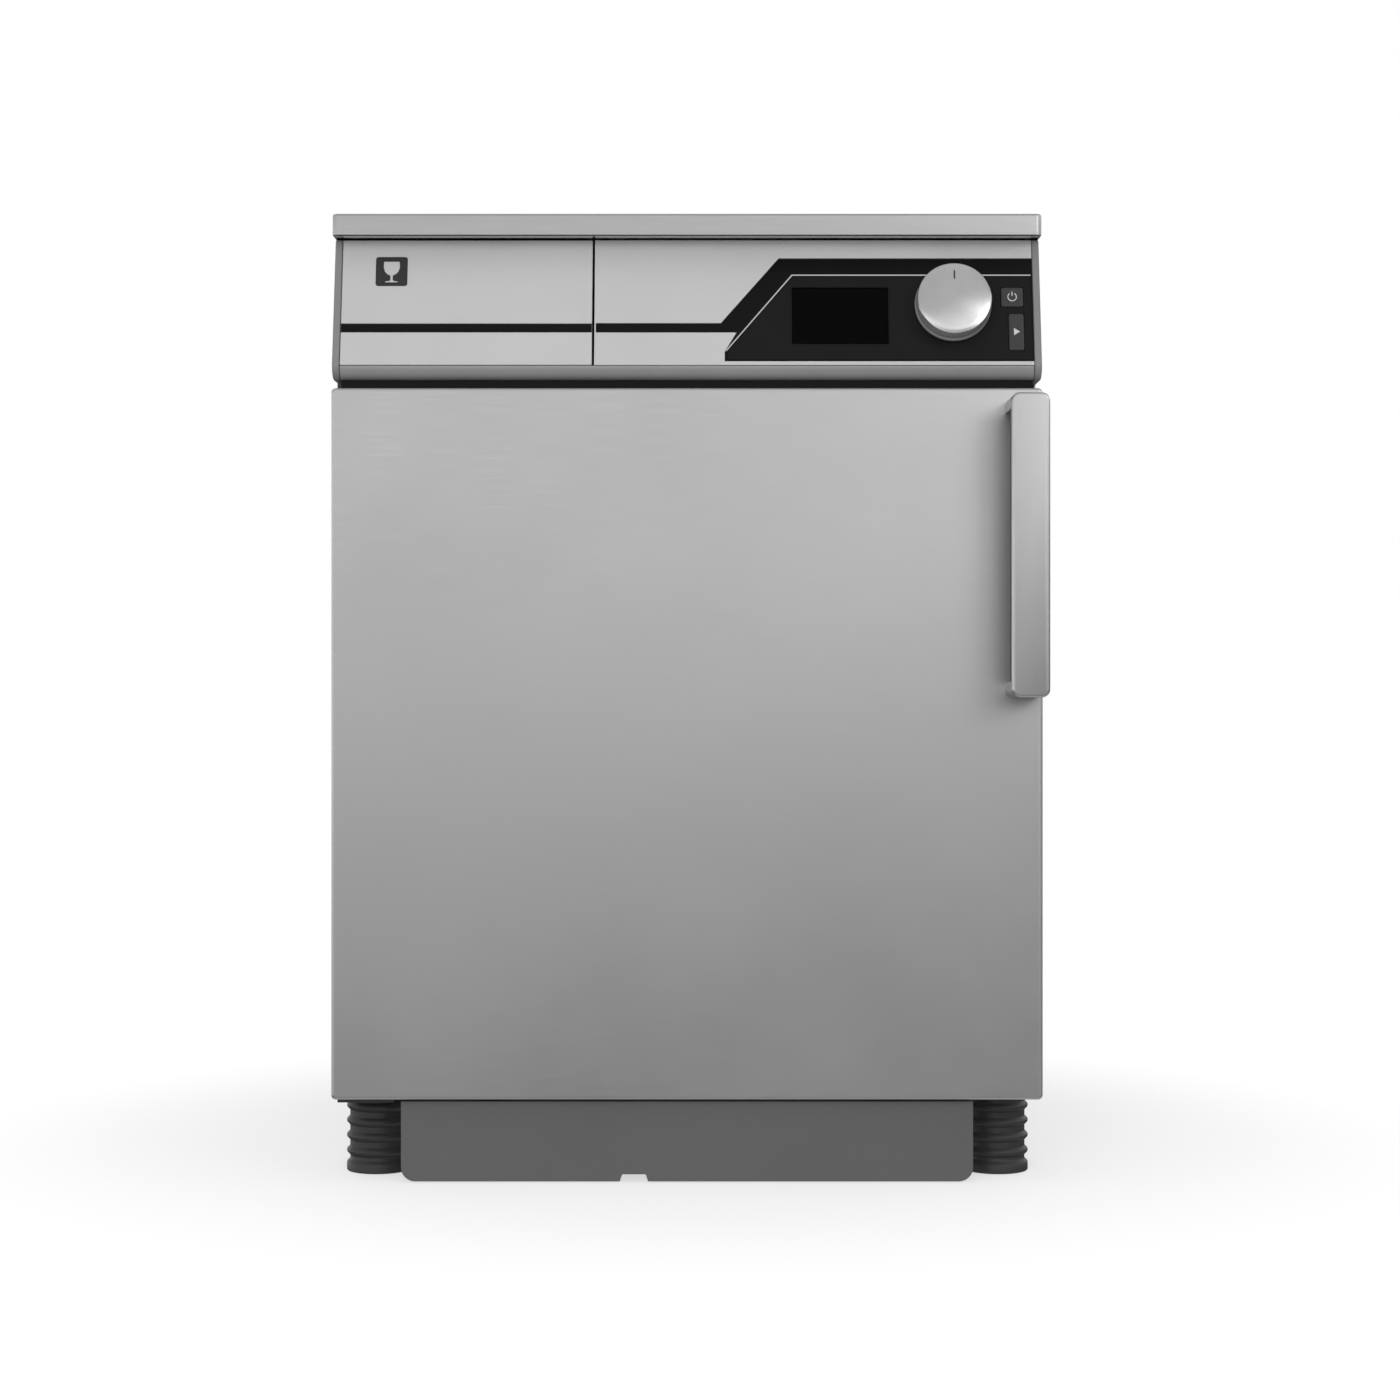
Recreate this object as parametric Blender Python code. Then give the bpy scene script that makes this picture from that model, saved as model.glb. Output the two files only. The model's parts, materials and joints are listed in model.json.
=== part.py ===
"""Under-counter glass washer: cabinet, side-hinged door, sloped fascia, wash system and feet.

Metres, +X to the right, +Y into the depth, +Z up, origin at the centre of the footprint on the floor.
"""

import math

import bmesh
import bpy
from mathutils import Vector

# Overall size
WIDTH = 0.600
HEIGHT = 0.820
REAR = 0.325
HANDLE_FRONT = -0.325
SHEET = 0.0015  # stainless sheet
GAP = 0.0003  # between touching pieces

# Door and cabinet front, as planes along Y and heights along Z
DOOR_FRONT = -0.275
DOOR_BACK = -0.230
DOOR_BOTTOM = 0.072
DOOR_TOP = 0.672
DOOR_WALL = 0.002
HINGE_X = -0.290
HINGE_Y = -0.240
PIN_R = 0.004
FRAME_FRONT = -0.224
FRAME_BACK = -0.2125
FRAME_BOTTOM = 0.074
FRAME_TOP = 0.6732
PANEL_INSIDE = WIDTH / 2 - SHEET
FLANGE_X = 0.280

# Wash chamber, open to the front
CHAMBER_W = 0.512
CHAMBER_H = 0.425
CHAMBER_Z = 0.4275
CHAMBER_BACK = 0.308
CHAMBER_R = 0.030
CHAMBER_FLOOR = CHAMBER_Z - CHAMBER_H / 2
CHAMBER_CEILING = CHAMBER_Z + CHAMBER_H / 2
WASH_Y = 0.050  # vertical axis of both spray arms, the filter and the sump
ARM_R = 0.235
RAIL_Z = 0.2899  # upper face of the rack rails
POST_R = 0.012

# Fascia: a face that leans back, from its lower edge to its upper edge
FACE_LOW_Y = -0.269
FACE_LOW_Z = 0.692
FACE_TOP_Y = -0.2440
FACE_TOP_Z = 0.8015
FACE_WALL = 0.003
FASCIA_BACK = -0.2262
FASCIA_END = 0.2935
SEAM_X = -0.0795
SEAM = 0.002
LEAN = math.atan2(FACE_TOP_Y - FACE_LOW_Y, FACE_TOP_Z - FACE_LOW_Z)
FACE_UP = Vector((0, math.sin(LEAN), math.cos(LEAN)))

# Controls, as x and height above the floor on the fascia face
ARM_LOW_Z, ARM_TOP_Z = 0.7206, 0.7283  # dark line across the fascia, and the inset's arm
DISPLAY = (0.0891, 0.1705, 0.7106, 0.7594)
KNOB_X, KNOB_Z, KNOB_R, KNOB_HEIGHT = 0.2255, 0.7435, 0.0325, 0.022
POWER_BUTTON = (0.2660, 0.2860, 0.7420, 0.7600)
START_BUTTON = (0.2720, 0.2860, 0.7040, 0.7370)
BUTTON_CLEAR = 0.0005

# Worktop, base and feet
WORKTOP_BOTTOM = 0.802
WORKTOP_FRONT = -0.269
TRAY_BOTTOM = 0.0738
TRAY_FRONT = -0.2098
TRAY_BACK = 0.3212
FOOT_X, FOOT_FRONT_Y, FOOT_REAR_Y = 0.2685, -0.195, 0.285
FOOT_R, FOOT_HEIGHT, STEM_R = 0.028, 0.066, 0.005

# Machine room under the chamber
PUMP = Vector((0.170, -0.034, 0.128))
SUMP_PORT_Z = 0.165
HEATER_R = 0.0665
HEATER_START = math.radians(-75)
HEATER_END = math.radians(225)
RECESS_X, RECESS_Z, RECESS_W, RECESS_H = -0.205, 0.148, 0.120, 0.080
INLET_X, INLET_Z = -0.240, 0.160

COLOURS = {  # base colour, roughness, metallic
    "steel": ((0.62, 0.62, 0.63), 0.35, 1.0),
    "silver": ((0.55, 0.55, 0.56), 0.40, 0.6),
    "chrome": ((0.80, 0.80, 0.81), 0.15, 1.0),
    "dark_steel": ((0.14, 0.14, 0.145), 0.5, 0.7),
    "black_gloss": ((0.010, 0.010, 0.012), 0.12, 0.0),
    "black_plastic": ((0.03, 0.03, 0.03), 0.55, 0.0),
    "grey_plastic": ((0.20, 0.20, 0.21), 0.5, 0.0),
    "white_plastic": ((0.75, 0.75, 0.74), 0.45, 0.0),
    "rubber": ((0.02, 0.02, 0.02), 0.85, 0.0),
    "board": ((0.02, 0.16, 0.06), 0.5, 0.0),
    "blue_plastic": ((0.08, 0.17, 0.42), 0.5, 0.0),
}


def material(name):
    """The shared Principled material of that name."""
    found = bpy.data.materials.get(name)
    if found:
        return found
    colour, rough, metal = COLOURS[name]
    made = bpy.data.materials.new(name)
    made.use_nodes = True
    shader = made.node_tree.nodes["Principled BSDF"]
    shader.inputs["Base Color"].default_value = (*colour, 1)
    shader.inputs["Roughness"].default_value = rough
    shader.inputs["Metallic"].default_value = metal
    return made


def add(name, bm, mat, location=(0, 0, 0), rotation=(0, 0, 0)):
    """Finish a bmesh into an object with outward faces, smooth where it is round."""
    bmesh.ops.recalc_face_normals(bm, faces=bm.faces)
    mesh = bpy.data.meshes.new(name)
    bm.to_mesh(mesh)
    bm.free()
    mesh.shade_smooth()
    mesh.set_sharp_from_angle(angle=math.radians(35))
    mesh.materials.append(material(mat))
    obj = bpy.data.objects.new(name, mesh)
    obj.location = location
    obj.rotation_euler = rotation
    bpy.context.scene.collection.objects.link(obj)
    return obj


def loft(name, rings, mat, closed=False, **place):
    """Join rings of equal point counts; ends are capped, or joined to each other if closed."""
    bm = bmesh.new()
    loops = [[bm.verts.new(p) for p in ring] for ring in rings]
    pairs = list(zip(loops, loops[1:]))
    if closed:
        pairs.append((loops[-1], loops[0]))
    else:
        bm.faces.new(loops[0])
        bm.faces.new(loops[-1])
    for a, b in pairs:
        for i in range(len(a)):
            j = (i + 1) % len(a)
            bm.faces.new((a[i], a[j], b[j], b[i]))
    return add(name, bm, mat, **place)


def rounded(width, height, radius, centre=(0, 0), steps=4):
    """Outline of a rounded rectangle, as pairs."""
    points = []
    for quarter in range(4):
        sx = 1 if quarter in (0, 3) else -1
        sy = 1 if quarter in (0, 1) else -1
        cx = centre[0] + sx * (width / 2 - radius)
        cy = centre[1] + sy * (height / 2 - radius)
        for k in range(steps + 1):
            turn = math.pi / 2 * (quarter + k / steps)
            points.append((cx + radius * math.cos(turn), cy + radius * math.sin(turn)))
    return points


def at_y(outline, y):
    return [(x, y, z) for x, z in outline]


def at_z(outline, z):
    return [(x, y, z) for x, y in outline]


def prism_x(name, outline, low, high, mat):
    """Outline in (Y, Z) extruded along X."""
    return loft(name, [[(x, y, z) for y, z in outline] for x in (low, high)], mat)


def prism_y(name, outline, low, high, mat):
    """Outline in (X, Z) extruded along Y."""
    return loft(name, [at_y(outline, y) for y in (low, high)], mat)


def prism_z(name, outline, low, high, mat, **place):
    """Outline in (X, Y) extruded along Z."""
    return loft(name, [at_z(outline, z) for z in (low, high)], mat, **place)


def box(name, low, high, mat, **place):
    (x0, y0, z0), (x1, y1, z1) = low, high
    return prism_z(name, [(x0, y0), (x1, y0), (x1, y1), (x0, y1)], z0, z1, mat, **place)


def turned(name, profile, mat, sides=28, closed=False, **place):
    """Turn a profile of (radius, height) about Z; a closed profile leaves a bore."""
    rings = []
    for radius, height in profile:
        turns = [2 * math.pi * k / sides for k in range(sides)]
        rings.append([(radius * math.cos(t), radius * math.sin(t), height) for t in turns])
    return loft(name, rings, mat, closed=closed, **place)


def cylinder(name, radius, low, high, mat, sides=24, **place):
    return turned(name, [(radius, low), (radius, high)], mat, sides=sides, **place)


def smooth_path(points, steps=5):
    """Points on a Catmull-Rom curve through the given ones."""
    given = [Vector(p) for p in points]
    padded = [2 * given[0] - given[1], *given, 2 * given[-1] - given[-2]]
    path = []
    for a, b, c, d in zip(padded, padded[1:], padded[2:], padded[3:]):
        for k in range(steps):
            t = k / steps
            path.append(0.5 * (2 * b + (c - a) * t + (2 * a - 5 * b + 4 * c - d) * t**2
                               + (3 * b - a - 3 * c + d) * t**3))
    return [*path, given[-1]]


def tube(name, points, radius, mat, steps=5):
    """Round bar or hose along a smooth path, with filled ends."""
    curve = bpy.data.curves.new(name, "CURVE")
    curve.dimensions = "3D"
    curve.bevel_depth = radius
    curve.bevel_resolution = 2
    curve.use_fill_caps = True
    spline = curve.splines.new("POLY")
    path = smooth_path(points, steps)
    spline.points.add(len(path) - 1)
    for point, place in zip(spline.points, path):
        point.co = (*place, 1)
    curve.materials.append(material(mat))
    obj = bpy.data.objects.new(name, curve)
    bpy.context.scene.collection.objects.link(obj)
    return obj


def lattice(name, xs, ys, zs, filled, mat):
    """Closed surface of the filled cells of a rectangular lattice."""
    bm = bmesh.new()
    made = {}

    def vert(i, j, k):
        if (i, j, k) not in made:
            made[i, j, k] = bm.verts.new((xs[i], ys[j], zs[k]))
        return made[i, j, k]

    cells = (len(xs) - 1, len(ys) - 1, len(zs) - 1)

    def solid(cell):
        return all(0 <= c < n for c, n in zip(cell, cells)) and filled(*cell)

    for i in range(cells[0]):
        for j in range(cells[1]):
            for k in range(cells[2]):
                if not solid((i, j, k)):
                    continue
                for axis in range(3):
                    for side in (0, 1):
                        beside = [i, j, k]
                        beside[axis] += 2 * side - 1
                        if solid(tuple(beside)):
                            continue
                        corners = []
                        for u, v in ((0, 0), (1, 0), (1, 1), (0, 1)):
                            corner = [i, j, k]
                            corner[axis] += side
                            corner[(axis + 1) % 3] += u
                            corner[(axis + 2) % 3] += v
                            corners.append(vert(*corner))
                        bm.faces.new(corners if side else corners[::-1])
    return add(name, bm, mat)


def combine(obj, other, operation):
    """Cut the other shape out of obj, or join it on; the other one stays as a guide."""
    modifier = obj.modifiers.new(other.name, "BOOLEAN")
    modifier.object = other
    modifier.operation = operation
    modifier.solver = "EXACT"
    other.hide_render = True
    other.display_type = "WIRE"
    return obj


def cut(obj, *cutters):
    for cutter in cutters:
        combine(obj, cutter, "DIFFERENCE")
    return obj


def join(obj, *others):
    for other in others:
        combine(obj, other, "UNION")
    return obj


def face_height(z):
    """Distance up the fascia face at height z."""
    return (z - FACE_LOW_Z) / math.cos(LEAN)


def face_place(x=0.0, z=FACE_LOW_Z):
    """Placement of a piece modelled flat, with its own +Z out of the fascia face."""
    foot = Vector((x, FACE_LOW_Y, FACE_LOW_Z)) + FACE_UP * face_height(z)
    return {"location": foot, "rotation": (math.pi / 2 - LEAN, 0, 0)}


def face_rect(area, grow=0.0):
    """Rectangle (x0, x1, z0, z1) on the fascia face, in face coordinates."""
    x0, x1, z0, z1 = area
    s0, s1 = face_height(z0), face_height(z1)
    centre = ((x0 + x1) / 2, (s0 + s1) / 2)
    return rounded(x1 - x0 + 2 * grow, s1 - s0 + 2 * grow, 0.0015, centre, steps=2)


def clear_scene():
    for obj in list(bpy.data.objects):
        bpy.data.objects.remove(obj)


def make_worktop():
    """Folded steel cover with a soft upper edge, hollow from below."""
    depth = REAR - WORKTOP_FRONT
    centre = (0, WORKTOP_FRONT + depth / 2)
    under = HEIGHT - SHEET
    steps = [
        (under, 0.006), (0.814, SHEET), (WORKTOP_BOTTOM, SHEET), (WORKTOP_BOTTOM, 0),
        (0.815, 0), (0.8185, 0.0015), (HEIGHT, 0.005),
    ]
    rings = [
        at_z(rounded(WIDTH - 2 * inset, depth - 2 * inset, 0.008 - inset / 2, centre), z)
        for z, inset in steps
    ]
    loft("worktop", rings, "steel")


def make_side_panel(name, side):
    """Sheet with an inward flange at the front and at the rear; side is -1 or 1."""
    outline = [
        (WIDTH / 2, FRAME_FRONT),
        (PANEL_INSIDE, FRAME_FRONT),
        (PANEL_INSIDE, FRAME_BACK + 0.0007),
        (FLANGE_X, FRAME_BACK + 0.0007),
        (FLANGE_X, FRAME_BACK + 0.0007 + SHEET),
        (PANEL_INSIDE, FRAME_BACK + 0.0007 + SHEET),
        (PANEL_INSIDE, REAR - 0.0035),
        (FLANGE_X, REAR - 0.0035),
        (FLANGE_X, REAR - 0.0020),
        (PANEL_INSIDE, REAR - 0.0020),
        (PANEL_INSIDE, REAR),
        (WIDTH / 2, REAR),
    ]
    prism_z(name, [(side * x, y) for x, y in outline], TRAY_BOTTOM, 0.8015, "steel")


def make_rear_panel():
    half = PANEL_INSIDE - 0.0005
    panel = box("rear_panel", (-half, REAR - SHEET, TRAY_BOTTOM), (half, REAR, 0.8015), "steel")
    window = rounded(RECESS_W, RECESS_H, 0.008, (RECESS_X, RECESS_Z))
    cut(panel, prism_y("rear_window", window, REAR - 0.01, REAR + 0.01, "steel"))
    for row in range(6):
        slot = rounded(0.16, 0.006, 0.0029, (0, 0.700 + 0.013 * row), steps=2)
        cut(panel, prism_y(f"rear_vent_{row}", slot, REAR - 0.01, REAR + 0.01, "steel"))


def make_base_tray():
    depth = TRAY_BACK - TRAY_FRONT
    centre = (0, TRAY_FRONT + depth / 2)
    outer = rounded(2 * PANEL_INSIDE - 0.001, depth, 0.002, centre, steps=1)
    inner = rounded(2 * PANEL_INSIDE - 0.001 - 2 * SHEET, depth - 2 * SHEET, 0.001, centre, steps=1)
    rim = TRAY_BOTTOM + 0.025
    floor = TRAY_BOTTOM + SHEET
    rings = [at_z(inner, floor), at_z(inner, rim), at_z(outer, rim), at_z(outer, TRAY_BOTTOM)]
    tray = loft("base_tray", rings, "steel")
    for name, x, y in foot_places():
        hole = cylinder(f"{name}_hole", STEM_R + 0.001, 0.06, 0.09, "steel", 16, location=(x, y, 0))
        cut(tray, hole)


def foot_places():
    for end, y in (("front", FOOT_FRONT_Y), ("rear", FOOT_REAR_Y)):
        for side, x in (("left", -FOOT_X), ("right", FOOT_X)):
            yield f"foot_{end}_{side}", x, y


def make_feet():
    """Ribbed levelling feet with a threaded stem, each on its own axis."""
    valley = FOOT_R - 0.003
    profile = [(FOOT_R - 0.001, 0), (FOOT_R, 0.001), (FOOT_R, 0.008), (valley, 0.011)]
    for crest in (0.018, 0.031, 0.044, 0.057):
        profile += [(valley, crest - 0.003), (FOOT_R, crest), (valley, crest + 0.003)]
    profile += [(valley, FOOT_HEIGHT), (STEM_R, FOOT_HEIGHT), (STEM_R, 0.108)]
    for name, x, y in foot_places():
        turned(name, profile, "black_plastic", sides=14, location=(x, y, 0))


def make_plinth():
    """Toe plate with rounded lower corners, a service notch, a top flange and two brackets."""
    half, low, high, radius = 0.2425, 0.001, 0.0690, 0.012
    notch_x, notch_w, notch_h = -0.045, 0.024, 0.006
    outline = [(half, high), (-half, high)]
    for side in (-1, 1):
        turns = [math.pi / 2 * k / 4 for k in range(5)]
        arc = [
            (side * (half - radius + radius * math.cos(t)), low + radius - radius * math.sin(t))
            for t in turns
        ]
        outline += arc if side < 0 else arc[::-1]
        if side < 0:
            left, right = notch_x - notch_w / 2, notch_x + notch_w / 2
            outline += [(left, low), (left + 0.002, low + notch_h)]
            outline += [(right - 0.002, low + notch_h), (right, low)]
    plate = prism_y("plinth_plate", outline, -0.262, -0.260, "dark_steel")
    bracket = [
        (-0.2605, 0.012), (-0.2577, 0.012), (-0.2577, 0.0665), (-0.120, 0.0665),
        (-0.120, 0.0735), (-0.221, 0.0735), (-0.221, 0.0685), (-0.2605, 0.0685),
    ]
    flange = half - 0.001
    join(plate, box("plinth_flange", (-flange, -0.261, high - SHEET), (flange, -0.236, high), "dark_steel"))
    for name, x in (("bracket_left", -0.17), ("bracket_right", 0.17)):
        join(plate, prism_x(name, bracket, x - 0.015, x + 0.015, "dark_steel"))


def make_front_frame():
    """Sheet frame around the chamber mouth, flanged to the rear, with a slot for the striker."""
    width, height = 2 * PANEL_INSIDE - 0.001, FRAME_TOP - FRAME_BOTTOM
    centre = (0, FRAME_BOTTOM + height / 2)
    outer = rounded(width, height, 0.002, centre)
    outer_wall = rounded(width - 2 * SHEET, height - 2 * SHEET, 0.001, centre)
    inner = rounded(CHAMBER_W, CHAMBER_H, CHAMBER_R, (0, CHAMBER_Z))
    inner_size = (CHAMBER_W + 2 * SHEET, CHAMBER_H + 2 * SHEET, CHAMBER_R + SHEET)
    inner_wall = rounded(*inner_size, (0, CHAMBER_Z))
    web = FRAME_FRONT + SHEET
    rings = [at_y(outer, FRAME_FRONT), at_y(outer, FRAME_BACK), at_y(outer_wall, FRAME_BACK)]
    rings += [at_y(outer_wall, web), at_y(inner_wall, web), at_y(inner_wall, FRAME_BACK)]
    rings += [at_y(inner, FRAME_BACK), at_y(inner, FRAME_FRONT)]
    frame = loft("front_frame", rings, "steel", closed=True)
    cut(frame, box("striker_slot", (0.139, -0.23, 0.6465), (0.161, -0.20, 0.6655), "steel"))


def make_chamber():
    outer = rounded(CHAMBER_W + 2 * SHEET, CHAMBER_H + 2 * SHEET, CHAMBER_R + SHEET, (0, CHAMBER_Z))
    inner = rounded(CHAMBER_W, CHAMBER_H, CHAMBER_R, (0, CHAMBER_Z))
    mouth = FRAME_BACK + GAP
    rings = [at_y(outer, CHAMBER_BACK + SHEET), at_y(outer, mouth)]
    rings += [at_y(inner, mouth), at_y(inner, CHAMBER_BACK)]
    chamber = loft("wash_chamber", rings, "steel")
    place = {"location": (0, WASH_Y, 0)}
    cut(
        chamber,
        cylinder("sump_hole", 0.082, 0.19, 0.24, "steel", 32, **place),
        cylinder("upper_hub_hole", POST_R + 0.001, 0.62, 0.66, "steel", 16, **place),
    )
    wall, ledge = CHAMBER_W / 2 + SHEET / 2, 0.240
    for name, side in (("rail_left", -1), ("rail_right", 1)):
        x0, x1 = sorted((side * wall, side * ledge))
        join(chamber, box(name, (x0, -0.195, RAIL_Z - 0.006), (x1, 0.300, RAIL_Z), "steel"))


def make_gasket():
    outer = rounded(0.530, 0.443, 0.039, (0, CHAMBER_Z))
    inner = rounded(0.518, 0.431, 0.033, (0, CHAMBER_Z))
    middle = rounded(0.524, 0.437, 0.036, (0, CHAMBER_Z))
    front, back = DOOR_BACK + GAP, FRAME_FRONT - GAP
    rings = [at_y(outer, back), at_y(outer, front + 0.0015), at_y(middle, front)]
    rings += [at_y(inner, front + 0.0015), at_y(inner, back)]
    loft("door_gasket", rings, "rubber", closed=True)


def make_hinges():
    """Stepped plates fixed to the frame, each with a pin that enters the door."""
    x0, x1 = -PANEL_INSIDE + 0.001, -0.250
    lower = [
        (-0.252, 0.0665), (FRAME_BACK - 0.0005, 0.0665), (FRAME_BACK - 0.0005, 0.0737),
        (-0.2215, 0.0737), (-0.2215, 0.0710), (-0.252, 0.0710),
    ]
    upper = [
        (-0.252, 0.6740), (FRAME_BACK, 0.6740), (FRAME_BACK, 0.6785), (-0.252, 0.6785),
    ]
    for name, outline, pin_low, pin_high, head in (
        ("lower_hinge", lower, 0.0665, 0.0880, 0.0665),
        ("upper_hinge", upper, 0.6560, 0.6793, 0.6788),
    ):
        place = {"location": (HINGE_X, HINGE_Y, 0)}
        plate = prism_x(f"{name}_plate", outline, x0, x1, "steel")
        cut(plate, cylinder(f"{name}_hole", PIN_R + GAP, head - 0.02, head + 0.02, "steel", 20, **place))
        cylinder(f"{name}_pin", PIN_R, pin_low, pin_high, "chrome", 20, **place)


def make_door():
    """Outer skin, inner panel, striker and handle; all turn about the hinge axis."""
    size = DOOR_TOP - DOOR_BOTTOM
    centre = (0, DOOR_BOTTOM + size / 2)

    def outline(inset, radius):
        return rounded(WIDTH - 2 * inset, size - 2 * inset, radius, centre)

    skin = loft(
        "door_skin",
        [
            at_y(outline(0.002, 0.003), DOOR_FRONT),
            at_y(outline(0.0005, 0.0035), DOOR_FRONT + 0.0007),
            at_y(outline(0, 0.004), DOOR_FRONT + 0.0025),
            at_y(outline(0, 0.004), DOOR_BACK - 0.0010),
            at_y(outline(0.001, 0.003), DOOR_BACK),
            at_y(outline(DOOR_WALL, 0.002), DOOR_BACK),
            at_y(outline(DOOR_WALL, 0.002), DOOR_FRONT + DOOR_WALL),
        ],
        "steel",
    )
    axis = {"location": (HINGE_X, HINGE_Y, 0)}
    cut(skin, cylinder("door_pin_holes", PIN_R + 0.001, 0.05, 0.70, "steel", 20, **axis))
    outer = outline(DOOR_WALL + 0.0005, 0.0015)
    pan, floor = rounded(0.470, 0.385, 0.030, (0, CHAMBER_Z)), 0.012
    pan_back = rounded(0.446, 0.361, 0.022, (0, CHAMBER_Z))
    rings = [
        at_y(pan_back, DOOR_BACK + floor),
        at_y(pan, DOOR_BACK),
        at_y(outer, DOOR_BACK),
        at_y(outer, DOOR_BACK - SHEET),
        at_y(pan, DOOR_BACK - SHEET),
        at_y(pan_back, DOOR_BACK + floor - SHEET),
    ]
    loft("door_inner_panel", rings, "steel")
    striker = box("door_striker", (0.145, DOOR_BACK + GAP, 0.651), (0.155, -0.1985, 0.661), "chrome")
    cut(striker, cylinder("striker_eye", 0.0035, 0.64, 0.68, "chrome", 12, location=(0.150, -0.205, 0)))
    make_handle()


def make_handle():
    """Flat bar on two end blocks, open to the left and the right behind the bar."""
    width, low, high, block, bar = 0.032, 0.411, 0.663, 0.013, 0.014
    x = WIDTH / 2 - width / 2
    height = high - low
    centre = (x, (low + high) / 2)
    rings = []
    for y, inset in (
        (HANDLE_FRONT, 0.0020), (HANDLE_FRONT + 0.0006, 0.0006), (HANDLE_FRONT + 0.0020, 0),
        (DOOR_FRONT - GAP, 0),
    ):
        rings.append(at_y(rounded(width - 2 * inset, height - 2 * inset, 0.007 - inset, centre), y))
    handle = loft("door_handle", rings, "steel")
    gap = ((0.24, HANDLE_FRONT + bar, low + block), (0.32, DOOR_FRONT + 0.01, high - block))
    cut(handle, box("finger_gap", *gap, "steel"))


def fascia_profile(bottom):
    """Wall with an upper and a lower flange that turn back into the machine, in (Y, Z)."""
    slope = math.tan(LEAN)
    wall = FACE_WALL / math.cos(LEAN)

    def front(z):
        return FACE_LOW_Y + (z - FACE_LOW_Z) * slope

    low, high, flange = bottom, FACE_TOP_Z, 0.002
    return [
        (FASCIA_BACK, low), (front(low), low), (front(high), high), (FASCIA_BACK, high),
        (FASCIA_BACK, high - flange), (front(high - flange) + wall, high - flange),
        (front(low + flange) + wall, low + flange), (FASCIA_BACK, low + flange),
    ]


def inset_outline(grow=0.0):
    """Outline of the dark inset with its thin arm, grown by an equal margin all round."""
    corners = [
        (SEAM_X + SEAM / 2 + 0.0015, ARM_TOP_Z), (0.0288, ARM_TOP_Z), (0.0781, 0.7853),
        (FASCIA_END, 0.7853), (FASCIA_END, 0.6955), (0.0322, 0.6955),
        (0.0322, 0.7036), (0.0424, ARM_LOW_Z), (SEAM_X + SEAM / 2 + 0.0015, ARM_LOW_Z),
    ]
    points = [Vector((x, face_height(z))) for x, z in corners]
    grown = []
    for i, point in enumerate(points):
        before = (point - points[i - 1]).normalized()
        after = (points[(i + 1) % len(points)] - point).normalized()
        normals = [Vector((-d.y, d.x)) for d in (before, after)]
        middle = (normals[0] + normals[1]).normalized()
        grown.append(point + middle * grow / middle.dot(normals[0]))
    return [tuple(p) for p in grown]


def make_fascia():
    """Right-hand panel with its dark inset, which ends at the cap, lower rail and end caps."""
    start = SEAM_X + SEAM / 2
    panel = prism_x("fascia_panel", fascia_profile(FACE_LOW_Z), start, FASCIA_END, "silver")
    place = face_place()
    cut(panel, prism_z("inset_window", inset_outline(GAP), -0.006, 0.006, "silver", **place))
    inset = loft(
        "control_inset",
        [
            at_z(inset_outline(-0.0004), -0.0006),
            at_z(inset_outline(0), -0.0010),
            at_z(inset_outline(0), -0.0038),
            at_z(inset_outline(-0.001), -0.0042),
        ],
        "black_gloss",
        **place,
    )
    hole = {"sides": 20, **face_place(KNOB_X, KNOB_Z)}
    cut(
        inset,
        prism_z("display_hole", face_rect(DISPLAY, GAP), -0.01, 0.01, "black_gloss", **place),
        prism_z("power_hole", face_rect(POWER_BUTTON), -0.01, 0.01, "black_gloss", **place),
        prism_z("start_hole", face_rect(START_BUTTON), -0.01, 0.01, "black_gloss", **place),
        cylinder("knob_hole", 0.005, -0.01, 0.01, "black_gloss", **hole),
    )
    prism_z("display_window", face_rect(DISPLAY), -0.0040, -0.0008, "black_gloss", **place)
    rail = [
        (FASCIA_BACK, 0.6800), (-0.2585, 0.6800), (-0.2640, 0.6820), (-0.2680, 0.6865),
        (-0.2692, 0.6915), (FASCIA_BACK, 0.6915),
    ]
    prism_x("fascia_rail", rail, -FASCIA_END, FASCIA_END, "silver")
    cap = [
        (-0.2245, 0.6800), (-0.2585, 0.6800), (-0.2645, 0.6820), (-0.2685, 0.6865),
        (-0.2700, 0.6920), (-0.2450, 0.8016), (-0.2245, 0.8016),
    ]
    for name, side in (("fascia_cap_left", -1), ("fascia_cap_right", 1)):
        edges = sorted((side * WIDTH / 2, side * (FASCIA_END + GAP)))
        prism_x(name, cap, *edges, "grey_plastic")


def make_trim():
    """Bright line inside the dark inset, along its slope and its upper edge."""
    line = [(0.0424, ARM_LOW_Z), (0.0892, 0.7706), (0.1870, 0.7706)]
    thick = 0.0012
    path = [Vector((x, face_height(z))) for x, z in line]
    steps = [Vector((-thick, 0)), Vector((-thick / 2, thick)), Vector((0, thick))]
    upper = [point + step for point, step in zip(path, steps)]
    prism_z("inset_trim", [tuple(p) for p in path + upper[::-1]], -0.0003, 0.0003, "chrome", **face_place())


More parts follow.
